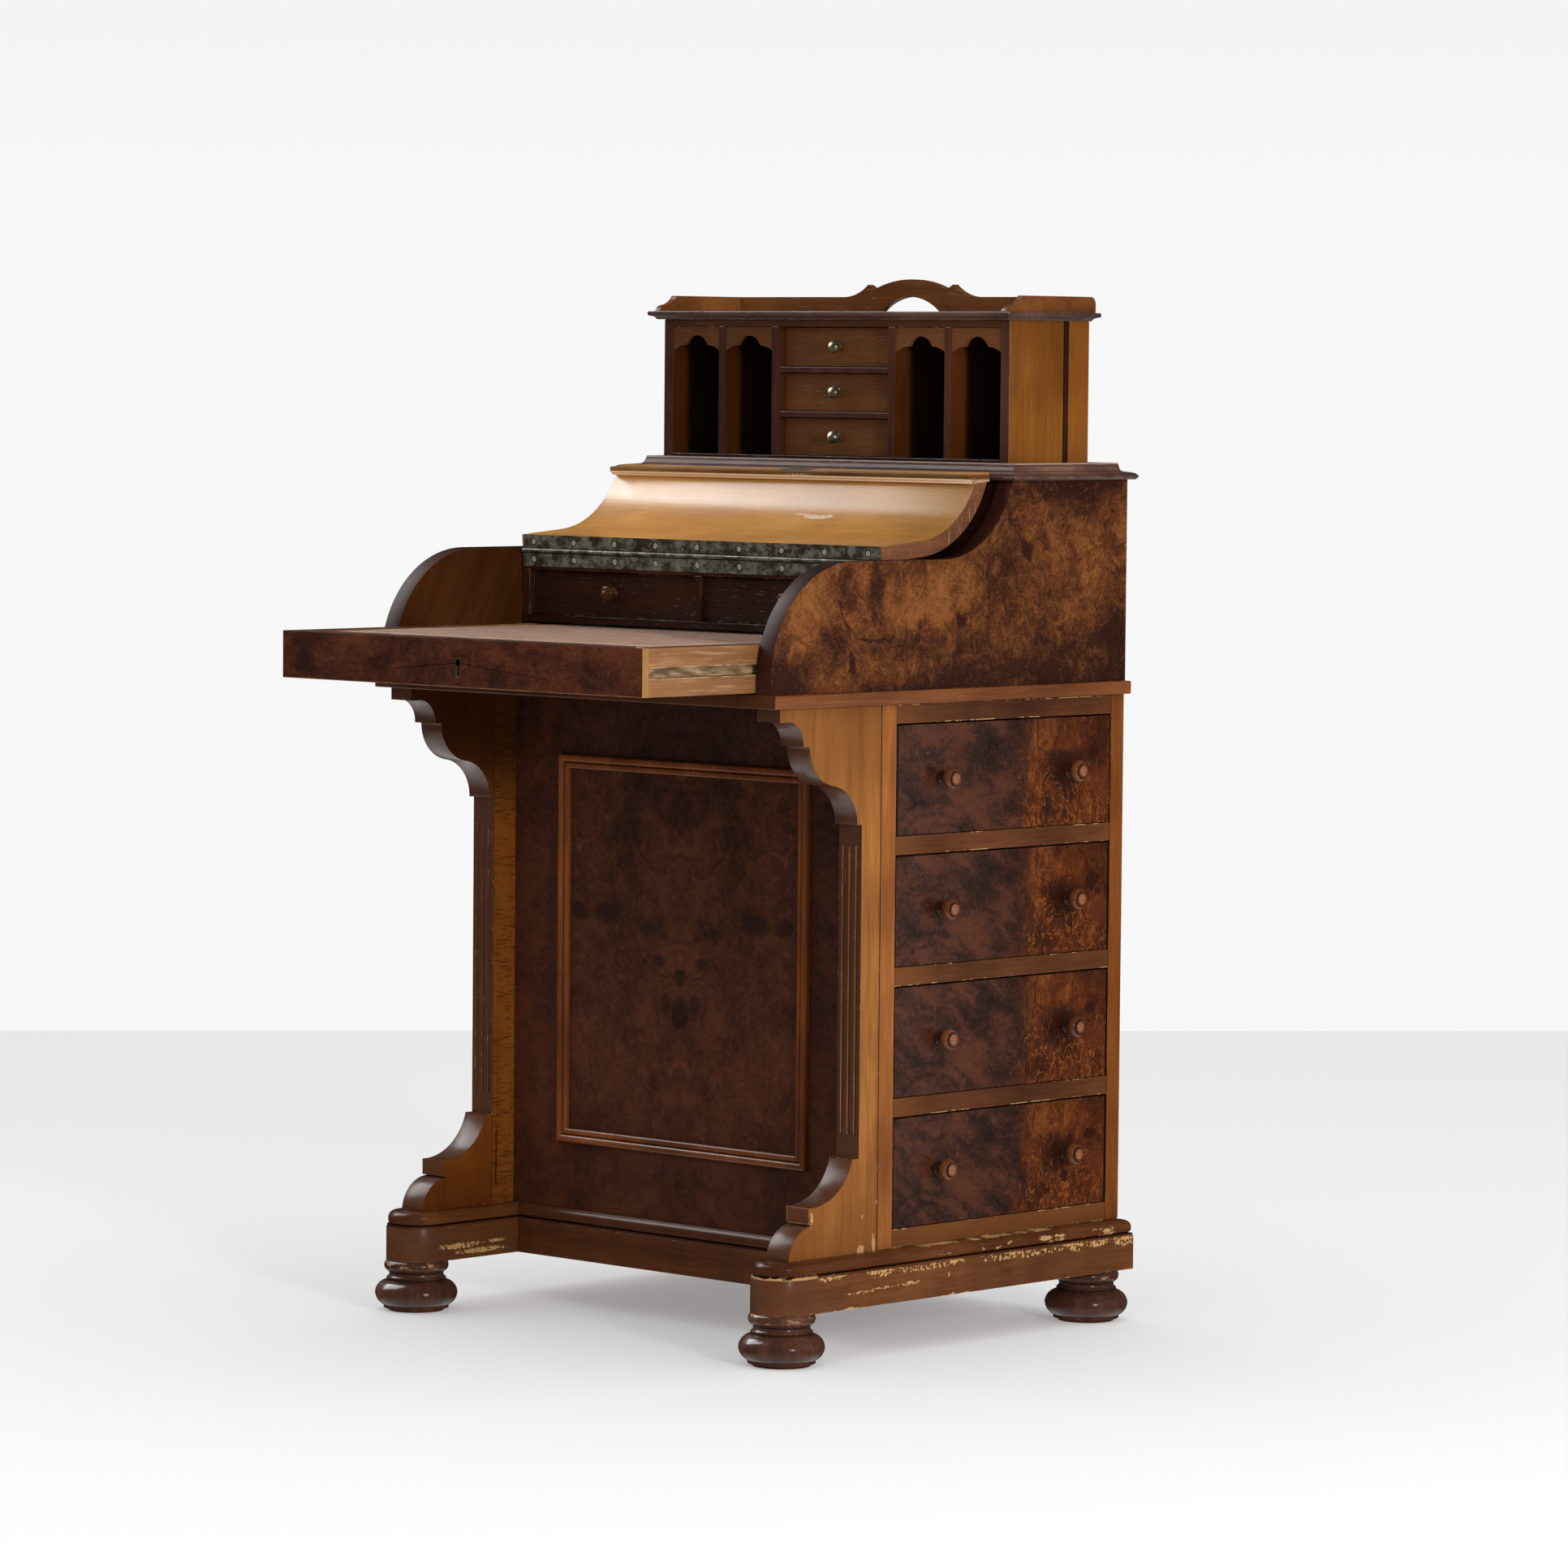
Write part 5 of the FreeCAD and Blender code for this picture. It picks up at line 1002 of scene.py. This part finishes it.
def tillPartitionFinish(t):
    f = Finish("tillPartitionWalnut")
    face, fibre = straightGrain(f, t["divider"], "z")
    face = tillDepth(f, t, face)
    face = f.mix(abs(f.x).over(*t["drawerBay"]) * 0.75, face, t["edge"]["mid"])
    colour = tillEdge(f, t, face)
    rim = f.edges(0.001).over(0.02, 0.2) * f.stretched((1, 1, 0.3), 90, 3.0).over(0.4, 0.55)
    colour = f.mix(rim * 0.5, colour, t["line"])
    return f.done(colour, f.polish(0.18, 0.12), f.bump(fibre), specular=0.06)


wear(["till_sides"], tillSideFinish(till))
wear(["till_partitions"], tillPartitionFinish(till))
wear(["till_valances", "till_drawer_top", "till_drawer_middle", "till_drawer_bottom"], tillFrontFinish(till))

galleryWood = {"dark": (0.085, 0.025, 0.0075), "mid": (0.175, 0.058, 0.0155), "light": (0.27, 0.096, 0.026)}
innerWood = {"dark": (0.016, 0.006, 0.004), "mid": (0.034, 0.0115, 0.0065), "light": (0.058, 0.0205, 0.0105)}
shadeWood = {"dark": (0.012, 0.005, 0.003), "mid": (0.02, 0.009, 0.005), "light": (0.03, 0.013, 0.007)}
plainBoards = [  # name, tones, grain, roughness, rubbing and specular level
    # the fixed lid panel is painted near black, as shade in the slit behind the lid's end
    {"finish": ("fixedLidWalnut", tinted(umber, 0.5, 0.4, 0.4), "x", 0.5, 0.1, 0.05),
     "names": ["fixed_lid_panel"]},
    {"finish": ("backWalnut", russet, "z", 0.4, 0.3), "names": ["upper_back", "pedestal_back"]},
    {"finish": ("tillBackWalnut", shadeWood, "z", 0.6, 0.1, 0.05), "names": ["till_back"]},
    {"finish": ("runnerWalnut", russet, "y", 0.4, 0.3), "names": ["drawer_runners", "slide_runners"]},
    {"finish": ("galleryWalnut", galleryWood, "x", 0.2, 0.3, 0.07), "names": ["gallery"]},
    {"finish": ("guideWalnut", russet, "z", 0.4, 0.3), "names": ["till_guides"]},
    {"finish": ("interiorWalnut", innerWood, "x", 0.2, 0.4, 0.07),
     "names": ["interior_floor", "well_partition", "till_floor"]},
    {"finish": ("interiorFrameWalnut", tinted(innerWood, 1.5, 1.4, 1.3), "z", 0.2, 0.5, 0.07),
     "names": ["interior_frame"]},
    {"finish": ("kneeMouldWalnut", tinted(russet, 1.4, 1.14, 0.91), "z", 0.24, 0.15),
     "names": ["knee_moulding"]},
    {"finish": ("tillTopWalnut", tinted(umber, 2.1, 3.3, 4.6), "x", 0.16, 0.6, 0.05), "names": ["till_top"]},
    {"finish": ("slideTopWalnut", russet, "x", 0.3, 0.3), "names": ["slide_top"]},
]
for board in plainBoards:
    wear(board["names"], boardFinish(*board["finish"]))

deskTop = {
    "tones": tinted(umber, 2.8, 4.1, 5.2), "low": (0.9205, (0.045, 0.022, 0.02)),
    # the pale top band is a painted highlight along the arris
    "bands": [(0.9252, (0.085, 0.034, 0.02)), (0.9273, (0.4, 0.32, 0.29))],
}


def deskTopFinish(d):
    f = Finish("deskTopWalnut")
    colour, fibre = straightGrain(f, d["tones"], "x")
    ragged = f.z + (f.stretched((0.2, 0.2, 1), 300, 3.0, 0.6) - 0.5) * 0.0012
    side = abs(f.faceZ).over(0.97, 0.9)
    height, tone = d["low"]
    colour = f.mix(ragged.over(height + 0.0006, height) * side * 0.7, colour, tone)
    for height, tone in d["bands"]:
        colour = f.mix(ragged.over(height, height + 0.0006) * side * 0.8, colour, tone)
    colour, bare = rubbed(f, colour, 0.6)
    return f.done(colour, f.polish(0.1, 0.08) + bare * 0.3, f.bump(fibre - bare * 2), specular=0.05)


wear(["desk_top"], deskTopFinish(deskTop))

innerDrawers = {
    "names": ["interior_drawer_left", "interior_drawer_right"], "wood": tinted(innerWood, 1.1, 1.1, 1.1),
    "knob": (-0.006, -0.0075), "behind": (0.008, 0.009),
}


def innerDrawerFinish(d):
    f = Finish("innerDrawerWalnut")
    colour, fibre = straightGrain(f, d["wood"], "x")
    colour, bare = rubbed(f, colour, 0.5, 0.0016)
    knob = f.mix(f.noise(f.place, 150, 2.0), umber["dark"], russet["mid"])
    colour = f.mix(f.y.over(*d["knob"]), colour, knob)
    lining = straightGrain(f, blond, "x")[0]
    colour = f.mix(f.y.over(*d["behind"]), colour, lining)
    return f.done(colour, 0.2 + bare * 0.3, f.bump(fibre - bare * 2), specular=0.1)


wear(innerDrawers["names"], innerDrawerFinish(innerDrawers))
print("finishes applied")

leather = {
    "half": 0.246, "front": -0.33125, "back": 0.06275, "high": 0.7452, "grid": (84, 68), "thick": 0.0006,
    "hollow": 0.00035, "rim": 0.0006, "rimPower": 40,
    "border": 0.03, "lines": (0.0245, 0.0355), "dots": 0.004, "gold": (0.85, 0.68, 0.38),
    "hide": ((0.13, 0.045, 0.026), (0.3, 0.122, 0.068), (0.46, 0.245, 0.145)),
    "rubbed": (0.52, 0.33, 0.21), "soiled": (0.09, 0.03, 0.022),
}


def leatherFinish(h):
    f = Finish("tooledLeather")
    grain = f.add("ShaderNodeTexVoronoi", {"feature": "DISTANCE_TO_EDGE"}, Vector=f.place, Scale=900.0)
    worn = f.stretched((0.6, 1.6, 1), 42, 5.0, 0.68)
    colour = f.tones(worn.over(0.3, 0.75), *h["hide"])
    specks = f.stretched((0.5, 1.2, 1), 240, 4.0, 0.7)
    colour = f.mix(specks.over(0.52, 0.62) * 0.7, colour, h["rubbed"])
    colour = f.mix(specks.over(0.44, 0.34) * 0.5, colour, h["soiled"])
    inset = (h["half"] - abs(f.x)).smaller((f.y - h["front"]).smaller(h["back"] - f.y))
    dots = (f.x + f.y).wrapped(h["dots"]).near(h["dots"] / 2, 0.0016, 0.0008)
    border = inset.near(h["border"], 0.0026, 0.0014) * dots
    for line in h["lines"]:
        border = border.larger(inset.near(line, 0.001, 0.0004))
    border = border * f.noise(f.place, 130, 3.0, 0.7).over(0.36, 0.52)
    colour = f.mix(border * 0.9, colour, h["gold"])
    normal = f.bump(grain.over(0.0, 0.12) + worn, 0.0003)
    return f.done(colour, worn * 0.2 + 0.35, normal, specular=0.4, sheen=0.38)


def makeLeather(h):
    bpy.ops.object.select_all(action="DESELECT")
    bpy.ops.mesh.primitive_grid_add(x_subdivisions=h["grid"][0], y_subdivisions=h["grid"][1], size=1)
    sheet = bpy.context.object
    sheet.name = "leather_sheet"
    middle = (h["front"] + h["back"]) / 2
    deep = h["back"] - h["front"]
    for vertex in sheet.data.vertices:  # lies flat, with faint hollows and its rim pressed down
        x, y = vertex.co.x * 2, vertex.co.y * 2
        rim = max(abs(x), abs(y)) ** h["rimPower"]
        swell = 0.5 + 0.25 * math.sin(5.1 * x + 1.3 * y) + 0.25 * math.sin(3.7 * y - 2.2 * x + 1)
        height = h["high"] - h["hollow"] * (1 - swell) - h["rim"] * rim
        vertex.co = (x * h["half"], middle + y * deep / 2, height)
    solid = sheet.modifiers.new("thickness", "SOLIDIFY")
    solid.thickness = h["thick"]
    solid.offset = -1
    bpy.ops.object.modifier_apply(modifier="thickness")
    bpy.ops.object.shade_smooth_by_angle(angle=math.radians(40))
    sheet.data.materials.append(leatherFinish(h))
    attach(sheet, "slide")
    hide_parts("slide_leather")


makeLeather(leather)
print("leather laid")

softened = {  # widths of the rounded edges
    0.0012: ["plinth_frame", "desk_bed", "slide_front", "slide_rails", "lid_lipping", "till_sides", "gallery",
             *cheeks["names"], *wings["names"]],
    0.0007: ["till_partitions", "till_valances", "till_drawer_top", "till_drawer_middle",
             "till_drawer_bottom", "interior_frame", "interior_floor", "lid_panel", "fixed_lid_panel",
             "till_floor", "pedestal_back", "upper_back", "knee_panel", *sides["names"], *drawers["names"],
             *innerDrawers["names"]],
}


def soften(name, width, angle=35):  # merges a node's loose triangles and rounds its edges
    node = nodes[name]
    weld = node.modifiers.new("weld", "WELD")
    weld.merge_threshold = 0.00001
    bevel = node.modifiers.new("soften", "BEVEL")
    bevel.width = width
    bevel.segments = 2
    bevel.limit_method = "ANGLE"
    bevel.angle_limit = math.radians(angle)
    bevel.harden_normals = False


for width, names in softened.items():
    for name in names:
        soften(name, width)
print("edges softened")
